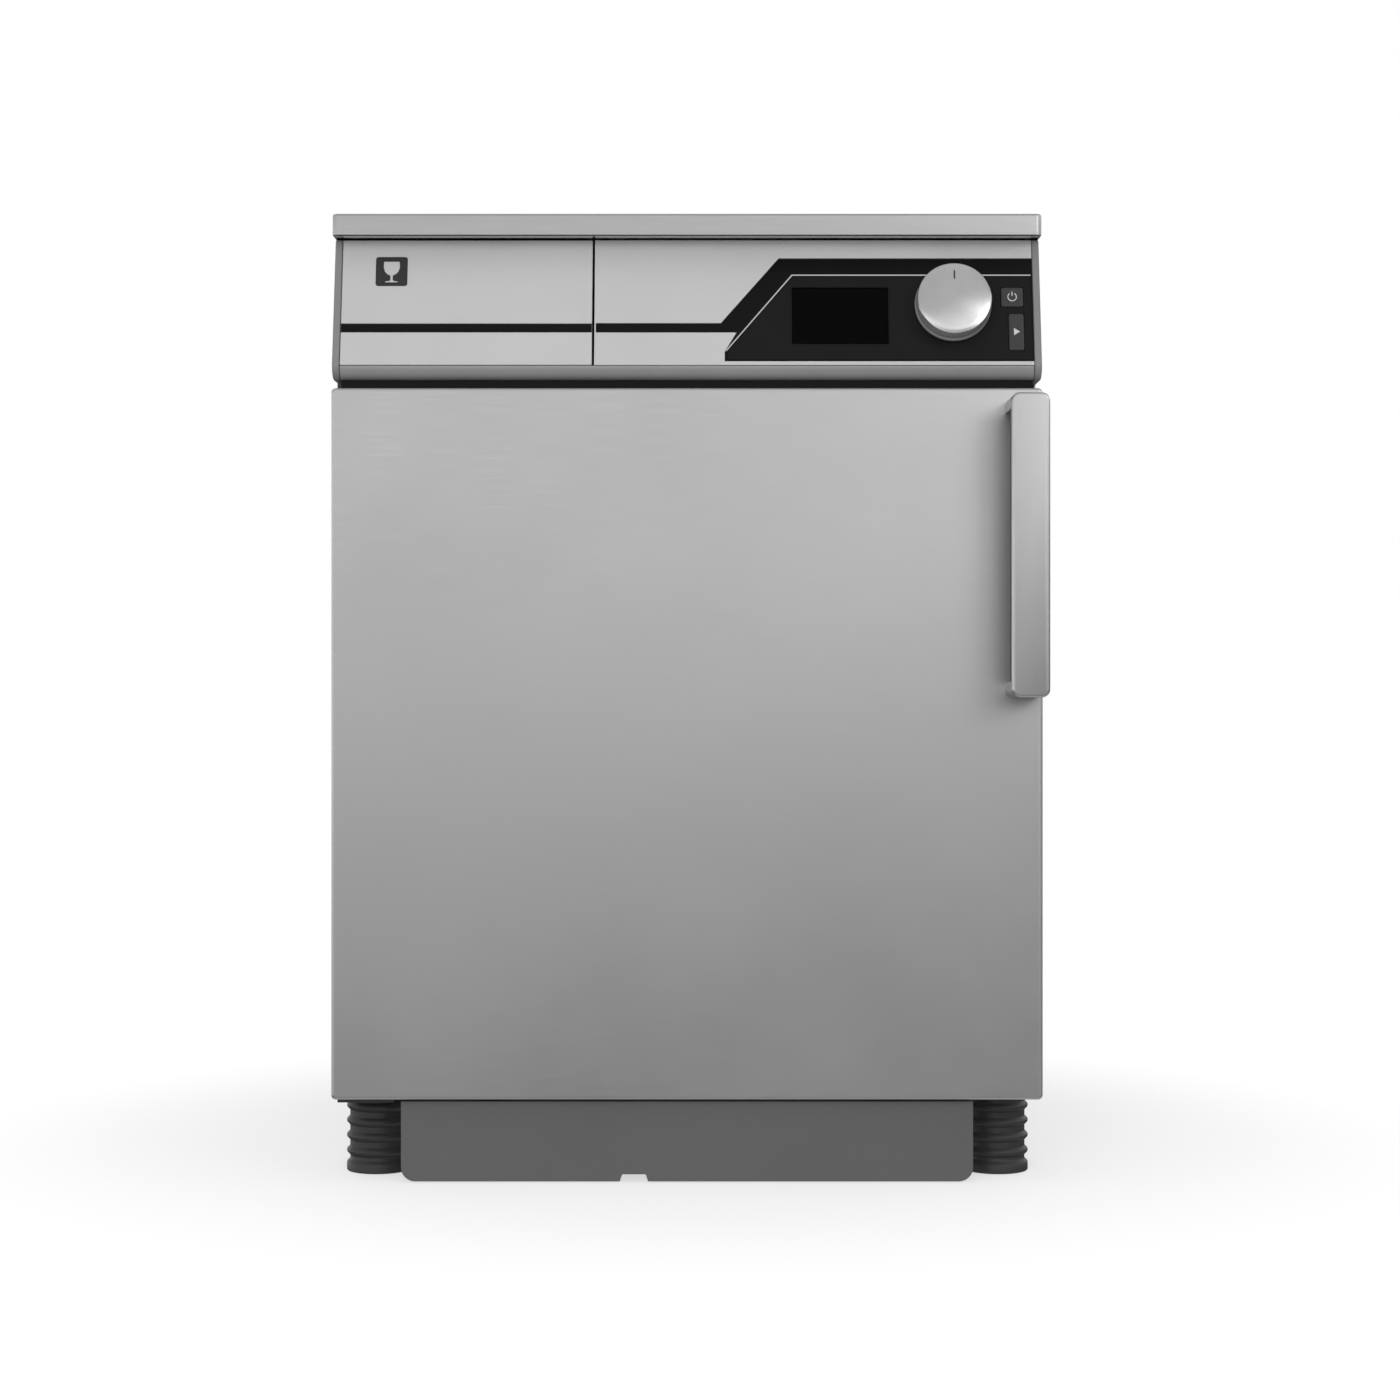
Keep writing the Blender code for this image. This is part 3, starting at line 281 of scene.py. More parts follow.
ALONG_X, ALONG_Y, ALONG_Z = (0.012, 1, 1), (1, 0.012, 1), (1, 1, 0.012)
MATS = {
    "worktop": metal("worktop_steel", 0.47, 0.38, ALONG_X),
    "side": metal("side_steel", 0.6, 0.38, ALONG_Z, change=0.04),
    "door": metal("door_steel", 0.56, 0.42, ALONG_X, grain=1800, change=0.012),
    "handle": metal("handle_steel", 0.53, 0.34, ALONG_Z),
    "chamber": metal("chamber_steel", (0.66, 0.66, 0.67), 0.28, ALONG_X, depth=0.02),
    "zinc": galvanised("zinc_steel", (0.5, 0.51, 0.52), 0.44),
    "hinge": metal("hinge_steel", (0.035, 0.035, 0.036), 0.5, ALONG_Y, metallic=0.3),
    "bright": metal("bright_steel", (0.78, 0.78, 0.79), 0.16, grain=400, depth=0.02),
    "screw": metal("screw_steel", 0.6, 0.28, grain=1500, depth=0.06),
    "heater": metal("heater_steel", (0.36, 0.34, 0.32), 0.38, grain=500, change=0.12),
    "cast": metal("motor_cast", (0.42, 0.42, 0.43), 0.52, grain=700, depth=0.25, change=0.1),
    "plinth": metal("plinth_paint", (0.098, 0.098, 0.1), 0.55, grain=1300, depth=0.08, metallic=0.25),
    "silver": moulded("fascia_silver", 0.42, 0.5, grain=2600, depth=0.04, change=0.02, metallic=0.2),
    "rail": moulded("rail_silver", 0.26, 0.42, grain=2200, depth=0.05, change=0.03, metallic=0.4),
    "cap": moulded("cap_grey", (0.155, 0.155, 0.158), 0.45),
    "groove": moulded("groove_black", 0.003, 0.42, depth=0.04, specular=0.12),
    "inset": moulded("inset_black", (0.0065, 0.0065, 0.007), 0.36, grain=2600, depth=0.03, specular=0.12),
    "display": moulded("display_glass", (0.0008, 0.0008, 0.0009), 0.08, grain=3000, depth=0.004,
                       specular=0.05),
    "button": moulded("button_grey", (0.03, 0.03, 0.031), 0.45, specular=0.3),
    "mark": moulded("mark_grey", (0.42, 0.42, 0.43), 0.5, depth=0.03),
    "ink": moulded("ink_black", (0.012, 0.012, 0.013), 0.45, depth=0.03),
    "board": moulded("board_green", (0.02, 0.14, 0.05), 0.4, grain=500),
    "chip": moulded("chip_black", (0.02, 0.02, 0.021), 0.35),
    "white": moulded("drawer_white", (0.7, 0.71, 0.7), 0.42),
    "valve": moulded("valve_white", (0.74, 0.74, 0.71), 0.45),
    "black": moulded("plastic_black", (0.022, 0.022, 0.023), 0.52, depth=0.2),
    "grey": moulded("plastic_grey", (0.19, 0.2, 0.21), 0.48),
    "nut": moulded("nut_dark", (0.05, 0.05, 0.055), 0.45),
    "arm": moulded("arm_grey", (0.33, 0.34, 0.35), 0.42),
    "rack": moulded("rack_coating", (0.045, 0.12, 0.34), 0.38, grain=900, depth=0.06),
    "foot": moulded("foot_black", (0.02, 0.02, 0.021), 0.5, grain=900, depth=0.2),
    "rotor": moulded("rotor_plastic", (0.1, 0.1, 0.11), 0.45),
    "jacket": moulded("boiler_jacket", (0.035, 0.035, 0.037), 0.85, grain=260, depth=0.7, change=0.25),
    "seal": moulded("seal_rubber", (0.018, 0.018, 0.019), 0.62, grain=700, depth=0.2),
    "hose": moulded("hose_rubber", (0.022, 0.022, 0.023), 0.58, grain=500, depth=0.3),
    "grip": moulded("knob_grip_silver", 0.22, 0.42, grain=2200, depth=0.04, metallic=0.3),
    "knob": spun("knob_metal", 0.62, 0.24),
    "mesh": perforated("filter_mesh", 0.62, 0.0022, 0.34),
}

# ------------------------------ outlines and rings


def circle(centre, radius, sides):
    return arc(centre, radius, 0, 360, sides)[:-1]


def arc(centre, radius, start, end, steps):
    """Points on an arc, in degrees."""
    turns = [math.radians(start + (end - start) * k / steps) for k in range(steps + 1)]
    return [(centre[0] + radius * math.cos(t), centre[1] + radius * math.sin(t)) for t in turns]


def rounded(width, height, radius, centre=(0, 0), steps=8):
    """Outline of a rectangle with round corners."""
    points = []
    for quarter, (sx, sy) in enumerate(((1, 1), (-1, 1), (-1, -1), (1, -1))):
        cx = centre[0] + sx * (width / 2 - radius)
        cy = centre[1] + sy * (height / 2 - radius)
        for k in range(steps + 1):
            turn = math.pi / 2 * (quarter + k / steps)
            points.append((cx + radius * math.cos(turn), cy + radius * math.sin(turn)))
    return points


def rect(lo, hi, a, b, inset, radius, steps=8):
    """Rounded outline of a box's side in its axes a and b, drawn in by inset."""
    width, height = hi[a] - lo[a] - 2 * inset, hi[b] - lo[b] - 2 * inset
    return rounded(width, height, max(radius, 0.0002), ((lo[a] + hi[a]) / 2, (lo[b] + hi[b]) / 2), steps)


def at_x(outline, x):
    return [(x, a, b) for a, b in outline]


def at_y(outline, y):
    return [(a, y, b) for a, b in outline]


def at_z(outline, z):
    return [(a, b, z) for a, b in outline]


def extruded(outline, across, low, high):
    return [across(outline, low), across(outline, high)]


def slab(low, high):
    """Rings of a plain box, to be softened with its piece."""
    outline = [(low[0], low[1]), (high[0], low[1]), (high[0], high[1]), (low[0], high[1])]
    return extruded(outline, at_z, low[2], high[2])


def framed(lo, hi, shapes, steps):
    """Rings like a box's front; shapes are (inset, corner radius, y)."""
    return [at_y(rect(lo, hi, 0, 2, inset, radius, steps), y) for inset, radius, y in shapes]


def quarter_steps(radius, steps):
    """(inset, rise) pairs that round an edge of that radius, from the flat face to the side."""
    turns = [math.pi / 2 * k / steps for k in range(steps + 1)]
    return [(radius * (1 - math.sin(t)), radius * (1 - math.cos(t))) for t in turns]


def plate_levels(low, high, radius, steps):
    """(inset, z) pairs of a plate with both edges rounded."""
    edge = quarter_steps(radius, steps)
    levels = [(inset, low + rise) for inset, rise in edge]
    return levels + [(inset, high - rise) for inset, rise in edge[::-1]]


def lathe(profile, sides, ripple=None, y=0.0):
    """Rings round an axis; a profile point's third value is the depth of its ripple."""
    rings = []
    for radius, level, *depth in profile:
        ring = []
        for k in range(sides):
            turn = 2 * math.pi * k / sides
            r = radius - depth[0] * ripple(k) if depth else radius
            ring.append((r * math.cos(turn), y + r * math.sin(turn), level))
        rings.append(ring)
    return rings


def upright(centre):
    """Place of a piece that stands on the floor plane at a point's x and y."""
    return Matrix.Translation((centre.x, centre.y, 0))


def lying(centre, axis, way=1):
    """Place turned a quarter round a world axis."""
    return Matrix.Translation(centre) @ Matrix.Rotation(way * math.pi / 2, 4, axis)


def aimed(centre, along):
    """Place whose Z axis points along a direction."""
    turn = Vector((0, 0, 1)).rotation_difference(Vector(along)).to_matrix().to_4x4()
    return Matrix.Translation(centre) @ turn


# ------------------------------ mesh tools


def new_object(name, bm, place=None):
    """Put a bmesh into the scene as an object."""
    bmesh.ops.recalc_face_normals(bm, faces=bm.faces)
    mesh = bpy.data.meshes.new(name)
    bm.to_mesh(mesh)
    bm.free()
    obj = bpy.data.objects.new(name, mesh)
    if place is not None:
        obj.matrix_world = place
    bpy.context.scene.collection.objects.link(obj)
    return obj


def smooth(mesh, sharp=SHARP):
    mesh.shade_smooth()
    mesh.set_sharp_from_angle(angle=math.radians(sharp))


def add(name, bm, mat, slot, body=CABINET, replaces=(), sharp=SHARP, place=None):
    """Finish a bmesh into a piece that rides on a body."""
    obj = new_object(name, bm, place)
    smooth(obj.data, sharp)
    obj.data.materials.append(MATS[mat])
    return attach(obj, body, slot, replaces)


def attach(obj, body, slot, replaces=()):
    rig.ride(obj, body)
    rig.slot(obj, slot)
    if replaces:
        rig.replaces(obj, *([replaces] if isinstance(replaces, str) else replaces))
    return obj


def skin(bm, rings, closed=False):
    """Faces between rings of equal point counts, with caps unless the section is closed."""
    loops = [[bm.verts.new(p) for p in ring] for ring in rings]
    pairs = list(zip(loops, loops[1:]))
    if closed:
        pairs.append((loops[-1], loops[0]))
    else:
        bm.faces.new(loops[0])
        bm.faces.new(loops[-1])
    for a, b in pairs:
        for i in range(len(a)):
            j = (i + 1) % len(a)
            bm.faces.new((a[i], a[j], b[j], b[i]))


def loft(name, rings, mat, slot, body=CABINET, closed=False, **more):
    bm = bmesh.new()
    skin(bm, rings, closed)
    return add(name, bm, mat, slot, body, **more)


def shells(name, groups, mat, slot, body=CABINET, **more):
    """One piece made of several closed lofts."""
    bm = bmesh.new()
    for rings in groups:
        skin(bm, rings)
    return add(name, bm, mat, slot, body, **more)


def soften(obj, width, segments=2, angle=30):
    """Round the sharp edges of a piece."""
    edge = obj.modifiers.new("soft_edges", "BEVEL")
    edge.width, edge.segments = width, segments
    edge.limit_method, edge.angle_limit = "ANGLE", math.radians(angle)
    edge.harden_normals = True
    return obj


def block(name, low, high, radius, mat, slot):
    """Box with every edge rounded."""
    lo, hi = Vector(low), Vector(high)
    rings = [at_z(rect(lo, hi, 0, 1, inset, radius - inset * 0.6, 3), z)
             for inset, z in plate_levels(lo.z, hi.z, radius, 3)]
    loft(name, rings, mat, slot)


def prism(name, outline, across, low, high, mat, slot, body=CABINET, width=0.0005, **more):
    """Outline extruded between two planes, with softened edges."""
    return soften(loft(name, extruded(outline, across, low, high), mat, slot, body, **more), width)


def turned(name, profile, mat, slot, body=CABINET, sides=64, ripple=None, **more):
    return loft(name, lathe(profile, sides, ripple), mat, slot, body, **more)


def pipe(bm, points, radius, sides=8, closed=False):
    """Round wire along points in a bmesh."""
    path = [Vector(p) for p in points]
    count = len(path)
    rings = []
    for i, point in enumerate(path):
        ahead = path[(i + 1) % count] if closed or i + 1 < count else point
        behind = path[i - 1] if closed or i else point
        along = (ahead - behind).normalized()
        side = along.cross(Vector((0, 0, 1)))
        if side.length < 1e-3:
            side = along.cross(Vector((1, 0, 0)))
        side.normalize()
        top = side.cross(along).normalized()
        turns = [2 * math.pi * k / sides for k in range(sides)]
        rings.append([point + radius * (math.cos(t) * side + math.sin(t) * top) for t in turns])
    skin(bm, rings, closed)


def cutter(rings, place=None):
    bm = bmesh.new()
    skin(bm, rings)
    return new_object("cutter", bm, place)


def punch(outline, across, low, high, place=None):
    return cutter(extruded(outline, across, low, high), place)


def cut_out(obj, cutters):
    """Take cutters out of a piece for good."""
    for tool in cutters:
        cut = obj.modifiers.new("cut", "BOOLEAN")
        cut.object, cut.solver = tool, "EXACT"
    bake(obj)
    for tool in cutters:
        bpy.data.objects.remove(tool)


def subtract(obj, *cutters):
    """Cut a piece and find its sharp edges again."""
    cut_out(obj, cutters)
    smooth(obj.data)
    return obj


def bake(obj):
    """Turn an object's modifiers into its mesh."""
    bpy.context.view_layer.update()
    seen = obj.evaluated_get(bpy.context.evaluated_depsgraph_get())
    mesh = bpy.data.meshes.new_from_object(seen)
    obj.modifiers.clear()
    obj.data = mesh


def screw(name, centre, outward, body, radius):
    """Pan-head screw with a cross recess, seated on a surface."""
    height, long, thin = radius * 0.55, radius * 0.55, radius * 0.13
    turns = [math.pi / 2 * k / 5 for k in range(6)]
    dome = [(radius * math.cos(t) + 0.0002, height * math.sin(t)) for t in turns]
    head = turned(name, dome, "screw", "pin_steel", body, sides=24, place=aimed(centre, outward))
    cross = []
    for k in range(4):
        turn = Matrix.Rotation(math.pi / 2 * k, 2)
        cross += [tuple(turn @ Vector(point)) for point in ((long, -thin), (long, thin), (thin, thin))]
    cut_out(head, [punch(cross, at_z, radius * 0.2, radius)])
    return head


def fix_all(name, spots, outward, body, radius):
    """The same screw at several spots, as copies of the first."""
    first = screw(name, spots[0], outward, body, radius)
    for number, spot in enumerate(spots[1:], 2):
        obj = first.copy()
        obj.name = f"{name}_{number}"
        obj.parent = None
        obj.matrix_world = Matrix.Translation(Vector(spot) - Vector(spots[0])) @ first.matrix_world
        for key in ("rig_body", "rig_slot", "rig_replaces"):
            if key in obj:
                del obj[key]
        bpy.context.scene.collection.objects.link(obj)
        attach(obj, body, "pin_steel")


def paint(node, mat):
    """Give a shown CAD node its finish."""
    mesh = NODES[node].data
    mesh.materials.clear()
    mesh.materials.append(MATS[mat])
    smooth(mesh)


# ------------------------------ cabinet

FASCIA_TOP = 0.8015  # upper edge of the fascia, under the worktop
FASCIA_END = 0.2935  # where the fascia meets its end caps


def worktop():
    """Folded cover with a soft upper edge, and a stiffener behind its front lip."""
    lo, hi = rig.box("worktop")
    levels = [(hi.z - SHEET, 0.004), (hi.z - 0.0025, 0.002), (hi.z - 0.004, SHEET)]
    levels += [(lo.z + 0.0003, SHEET), (lo.z, SHEET - 0.0003), (lo.z, 0.0003), (lo.z + 0.0003, 0)]
    levels += [(hi.z - rise, inset) for inset, rise in quarter_steps(0.002, 8)[::-1]]
    rings = [at_z(rect(lo, hi, 0, 1, inset, 0.005 - inset * 0.6, 10), z) for z, inset in levels]
    loft("worktop_cover", rings, "worktop", "stainless", replaces="worktop")
    strip = slab((lo.x + SHEET, lo.y + 0.009, lo.z + 0.0002), (hi.x - SHEET, lo.y + 0.018, lo.z + 0.0018))
    soften(loft("worktop_stiffener", strip, "bright", "stainless"), 0.0003)


def side_panel(node, side):
    """Sheet with a shallow pressed field, and a flange at the front and at the rear."""
    lo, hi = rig.box(node)
    out = hi.x if side > 0 else lo.x
    inner, press = out - side * SHEET, side * 0.0012
    shapes = [
        (0.052, 0.02, inner - press), (0.045, 0.025, inner), (0.002, 0.003, inner),
        (0.0004, 0.001, inner), (0, 0.0015, inner + side * 0.0003), (0, 0.0015, out - side * 0.0004),
        (0.0004, 0.0012, out), (0.002, 0.003, out), (0.0425, 0.0275, out), (0.044, 0.026, out),
        (0.0455, 0.0245, out - press * 0.25), (0.0505, 0.021, out - press * 0.8), (0.052, 0.02, out - press),
    ]
    sheet = [at_x(rect(lo, hi, 1, 2, inset, radius), x) for inset, radius, x in shapes]
    x0, x1 = sorted((side * 0.28, inner))
    flanges = [slab((x0, y, lo.z + 0.001), (x1, y + 0.0014, hi.z - 0.001))
               for y in (lo.y + 0.0122, hi.y - 0.0048)]
    shells(f"{node}_sheet", [sheet, *flanges], "side", "stainless", replaces=node)


def spots(y, *grids):
    """Points in a plane that faces the front or the rear, from grids of x and z."""
    return [(x, y, z) for xs, zs in grids for x in xs for z in zs]


def rear_panel():
    """Pressed rear sheet with louvred slots, fixed all round with screws."""
    lo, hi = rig.box("rear_panel")
    face, thick = hi.y - 0.0015, 0.0013
    shapes = [
        (0.03, 0.012, hi.y - thick), (0.027, 0.014, face - thick), (0, 0.002, face - thick),
        (0, 0.002, face), (0.0015, 0.0035, face), (0.024, 0.017, face), (0.025, 0.016, face),
        (0.0262, 0.0155, face + 0.0004), (0.0288, 0.0135, hi.y - 0.0002), (0.03, 0.012, hi.y),
    ]
    sheet = loft("rear_sheet", framed(lo, hi, shapes, 6), "zinc", "zinc_steel", replaces="rear_panel")
    rows = [0.7 + 0.013 * row for row in range(6)]
    holes = [rect(*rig.box("connection_plate"), 0, 2, 0.008, 0.008, 6)]
    holes += [rounded(0.16, 0.006, 0.0029, (0, z), 5) for z in rows]
    subtract(sheet, *[punch(hole, at_y, 0.31, 0.33) for hole in holes])
    blade = ((0.3228, 0.0045), (0.3222, 0.0045), (0.316, -0.002), (0.3166, -0.002))
    blades = [extruded([(y, z + rise) for y, rise in blade], at_x, -0.082, 0.082) for z in rows]
    shells("rear_louvres", blades, "zinc", "zinc_steel")
    upright_rows = ((lo.x + 0.012, hi.x - 0.012), (0.09, 0.26, 0.44, 0.61, 0.785))
    level_rows = ((-0.14, 0.14), (lo.z + 0.012, hi.z - 0.012))
    fix_all("rear_screw", spots(face, upright_rows, level_rows), (0, 1, 0), CABINET, 0.0026)


def plinth():
    """Toe plate with a rolled edge, rounded lower corners and a service notch."""
    lo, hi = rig.box("plinth_plate")
    half, low, high, radius = hi.x, 0.001, 0.069, 0.012
    left, right, notch = -0.057, -0.033, low + 0.006
    outline = [(half, high), (-half, high), *arc((-half + radius, low + radius), radius, 180, 270, 8)]
    outline += [(left, low), (left + 0.002, notch), (right - 0.002, notch), (right, low)]
    outline += arc((half - radius, low + radius), radius, 270, 360, 8)
    bracket = [
        (-0.2605, 0.012), (-0.2577, 0.012), (-0.2577, 0.0665), (-0.12, 0.0665),
        (-0.12, 0.0735), (-0.221, 0.0735), (-0.221, 0.0685), (-0.2605, 0.0685),
    ]
    groups = [extruded(outline, at_y, lo.y, lo.y + 0.002),
              slab((-half + 0.001, lo.y + 0.001, high - SHEET), (half - 0.001, -0.236, high))]
    groups += [extruded(bracket, at_x, x - 0.015, x + 0.015) for x in (-0.17, 0.17)]
    soften(shells("toe_plate", groups, "plinth", "plinth_steel", replaces="plinth_plate"), 0.0006)


def feet():
    """Levelling feet with rounded ribs, a ground pad and a threaded stem."""
    for number, node in enumerate(("front_left", "front_right", "rear_left", "rear_right"), 1):
        lo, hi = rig.box(f"foot_{node}")
        radius, place, body = (hi.x - lo.x) / 2, upright((lo + hi) / 2), f"foot_{number}"
        valley = radius - 0.003
        profile = [(radius - 0.0022, 0.0), (radius - 0.0008, 0.0004), (radius, 0.0014), (radius, 0.0075)]
        profile += [(radius - 0.0006, 0.0088), (valley + 0.0006, 0.0102), (valley, 0.0118)]
        rib = ((valley + 0.0002, -0.004), (valley + 0.0012, -0.003), (radius - 0.0002, -0.0012),
               (radius, 0), (radius - 0.0002, 0.0012), (valley + 0.0012, 0.003), (valley + 0.0002, 0.004))
        profile += [(r, crest + z) for crest in (0.018, 0.031, 0.044, 0.057) for r, z in rib]
        profile += [(valley, 0.0652), (valley - 0.0008, 0.066), (0.0085, 0.066)]
        turned(f"foot_pad_{number}", profile, "foot", "foot_black", body, place=place,
               replaces=f"foot_{node}")
        thread = [(0.0085, 0.0661), (0.0085, 0.07), (0.005, 0.0702)]
        for turn in range(24):
            thread += [(0.0042, 0.0708 + 0.0015 * turn), (0.005, 0.0714 + 0.0015 * turn)]
        thread += [(0.004, 0.1075)]
        turned(f"foot_stem_{number}", thread, "zinc", "zinc_steel", body, sides=32, place=place)


# ------------------------------ door


def door():
    """Folded shell with a soft front edge, bored for the hinge pins."""
    lo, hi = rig.box("door_skin")
    wall = 0.002
    shapes = [(inset, 0.004 - inset * 0.6, lo.y + rise) for inset, rise in quarter_steps(0.0025, 6)]
    shapes += [
        (0, 0.004, hi.y - 0.0008), (0.0002, 0.0038, hi.y - 0.0002), (0.0008, 0.0034, hi.y),
        (wall - 0.0003, 0.0022, hi.y), (wall, 0.002, hi.y - 0.0003), (wall, 0.002, lo.y + wall),
    ]
    shell = loft("door_shell", framed(lo, hi, shapes, 8), "door", "door_stainless", DOOR,
                 replaces="door_skin")
    pin_lo, pin_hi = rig.box("lower_hinge_pin")
    axis = (pin_lo + pin_hi) / 2
    subtract(shell, punch(circle((axis.x, axis.y), 0.005, 32), at_z, 0.05, 0.7))
    inner_door_panel(lo, hi)


def inner_door_panel(lo, hi):
    """Liner with a stepped pan that closes the chamber, screwed round its edge."""
    back = hi.y
    chamber_lo, chamber_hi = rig.box("wash_chamber")
    middle, narrower = (0, (chamber_lo.z + chamber_hi.z) / 2), 0.085
    hidden = ((0.37, 0.012, 0.0073), (0.444, 0.022, 0.0073), (0.462, 0.028, 0.0035),
              (0.47, 0.03, -0.0012))  # width, corner radius, distance behind the shell
    seen = ((0.474, 0.032, -0.0002), (0.47, 0.03, 0.0008), (0.464, 0.028, 0.0045),
            (0.45, 0.024, 0.011), (0.446, 0.022, 0.012), (0.39, 0.018, 0.012),
            (0.384, 0.015, 0.009), (0.37, 0.012, 0.0085))
    rear, front = ([at_y(rounded(width, width - narrower, radius, middle, 10), back + y)
                    for width, radius, y in side] for side in (hidden, seen))
    edge = extruded(rect(lo, hi, 0, 2, 0.0025, 0.0015, 10), at_y, back - 0.0012, back - 0.0002)
    loft("door_liner", rear + edge + front, "chamber", "chamber_steel", DOOR, replaces="door_inner_panel")
    upright_rows = ((lo.x + 0.013, hi.x - 0.013), (0.1, 0.24, 0.38, 0.52, 0.645))
    level_rows = ((-0.14, 0.0, 0.12), (lo.z + 0.013, hi.z - 0.022))
    fix_all("door_screw", spots(back - 0.0002, upright_rows, level_rows), (0, 1, 0), DOOR, 0.0036)


def handle():
    """Flat bar on two end blocks, with a fine front radius and a dark grip behind it; the near-black grip is painted
    shade, so the bar's left side and the door beside the handle read as shaded.
    """
    lo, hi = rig.box("door_handle")
    shapes = [(inset, 0.007 - inset, lo.y + rise) for inset, rise in quarter_steps(0.0022, 6)]
    bar = loft("handle_bar", framed(lo, hi, [*shapes, (0, 0.007, hi.y)], 8), "handle", "handle_aluminium",
               DOOR, replaces="door_handle")
    face, rear, end = lo.y + 0.0045, lo.y + 0.014, 0.013
    gap = slab((lo.x - 0.02, face, lo.z + end), (hi.x + 0.02, hi.y + 0.02, hi.z - end))
    soften(subtract(bar, cutter(gap)), 0.0005, 2, 40)
    outline = rounded(hi.x - lo.x - 0.0004, hi.z - lo.z - 2 * end - 2 * FINE, 0.0006,
                      ((lo.x + hi.x) / 2, (lo.z + hi.z) / 2), 3)
    # Painted shade: a near-black plastic backing in the stand-off gap darkens the bar's visible side and the shadow
    # that the door shows next to the handle.
    prism("handle_grip_and_shade", outline, at_y, face + FINE / 3, rear, "black", "plastic_black", DOOR, width=0.0015)


# ------------------------------ fascia

FACE_Y, FACE_Z = -0.269, 0.692  # lower front edge of the fascia
LEAN_BACK = 0.025  # how much farther back its upper edge is
LEAN = math.atan2(LEAN_BACK, FASCIA_TOP - FACE_Z)
FACE = Matrix.Translation((0, FACE_Y, FACE_Z)) @ Matrix.Rotation(math.pi / 2 - LEAN, 4, "X")
SEAM_X, SEAM = -0.0795, 0.002  # middle and width of the gap beside the drawer front
PANEL_START = SEAM_X + SEAM / 2
ARM_LOW, ARM_TOP = 0.7206, 0.7283  # the dark line that runs to the left
KNOB_X, KNOB_Z = 0.2255, 0.7435
TRIM_TOP, TRIM_END = 0.7706, 0.2923


def up(z):
    """Distance up the fascia for a height above the floor."""
    return (z - FACE_Z) / math.cos(LEAN)


def flat(corners):
    """Points on the face of the fascia, from x and the height above the floor."""
    return [(x, up(z)) for x, z in corners]


def window(area, grow=0.0, radius=0.0015, steps=4):
    """Rounded outline of an area of the fascia, given as x and z limits."""
    x0, x1, z0, z1 = area
    s0, s1 = up(z0), up(z1)
    return rounded(x1 - x0 + 2 * grow, s1 - s0 + 2 * grow, radius, ((x0 + x1) / 2, (s0 + s1) / 2), steps)


def grown(outline, margin, closed=True):
    """Points moved sideways by an equal margin, which is outwards where corners run clockwise."""
    points, result = [Vector(p) for p in outline], []
    for i, point in enumerate(points):
        ways = [point - points[i - 1]] if closed or i else []
        if closed or i + 1 < len(points):
            ways.append(points[(i + 1) % len(points)] - point)
        normals = [Vector((-way.y, way.x)).normalized() for way in ways]
        middle = sum(normals, Vector((0, 0))).normalized()
        result.append(tuple(point + middle * margin / middle.dot(normals[0])))
    return result


def layered(shape, base, levels):
    """Rings above the face of the fascia; levels are (margin, height)."""
    return [at_z(shape(base, margin), height) for margin, height in levels]


def fascia_section():
    """Wall with flanges that turn back, in (Y, Z)."""
    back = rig.box("fascia_panel")[1].y
    slope, wall, top, flange = math.tan(LEAN), 0.003 / math.cos(LEAN), FASCIA_TOP, 0.002

    def front(z):
        return FACE_Y + (z - FACE_Z) * slope

    return [
        (back, FACE_Z), (front(FACE_Z), FACE_Z), (front(top), top), (back, top),
        (back, top - flange), (front(top - flange) + wall, top - flange),
        (front(FACE_Z + flange) + wall, FACE_Z + flange), (back, FACE_Z + flange),
    ]


INSET = flat([
    (PANEL_START + 0.0015, ARM_TOP), (0.0288, ARM_TOP), (0.0781, 0.7853), (FASCIA_END, 0.7853),
    (FASCIA_END, 0.6955), (0.0322, 0.6955), (0.0322, 0.7036), (0.0424, ARM_LOW),
    (PANEL_START + 0.0015, ARM_LOW),
])
# Areas on the fascia: left, right, lower and upper limit
DISPLAY = (0.0891, 0.1705, 0.7106, 0.7594)
POWER = (0.266, 0.286, 0.742, 0.76)
START = (0.272, 0.286, 0.704, 0.737)


def control_cutters():
    """Cutters for the display, the buttons and the knob's shaft."""
    holes = [window(DISPLAY, FINE), window(POWER), window(START), circle((KNOB_X, up(KNOB_Z)), 0.005, 32)]
    return [punch(hole, at_z, -0.01, 0.01, FACE) for hole in holes]


def lip(reach, z, drop):
    """Quarter ellipse under the fascia, in (Y, Z)."""
    turns = [math.pi / 2 * k / 8 for k in range(9)]
    return [(-0.2585 - reach * math.sin(t), z - drop * math.cos(t)) for t in turns]


def fascia():
    """Silver panel, lower rail with the rubber strip behind it, and the end caps."""
    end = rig.box("fascia_panel")[1].x
    section = fascia_section()
    panel = loft("fascia_shell", extruded(section, at_x, PANEL_START, end), "silver", "fascia_silver",
                 replaces="fascia_panel")
    subtract(panel, punch(grown(INSET, FINE), at_z, -0.006, 0.006, FACE))
    soften(panel, 0.0007, 3, 40)
    back = section[0][0]
    rail = [(back, 0.68), *lip(0.0107, 0.6915, 0.0115), (back, 0.6915)]
    prism("lower_rail", rail, at_x, -end, end, "rail", "rail_silver", replaces="fascia_rail", width=0.0004)
    seal = slab((-end, -0.26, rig.box("door_skin")[1].z + 0.0007), (end, -0.24, 0.6797))
    soften(loft("rail_seal", seal, "groove", "seal_rubber"), 0.0004)
    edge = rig.box("fascia_cap_left")[1].y
    cap = [(edge, 0.68), *lip(0.0115, 0.692, 0.012), (-0.245, 0.8016), (edge, 0.8016)]
    for node in ("fascia_cap_left", "fascia_cap_right"):
        lo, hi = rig.box(node)
        prism(f"end_{node}", cap, at_x, lo.x, hi.x, "cap", "cap_grey", replaces=node, width=0.0012, sharp=60)


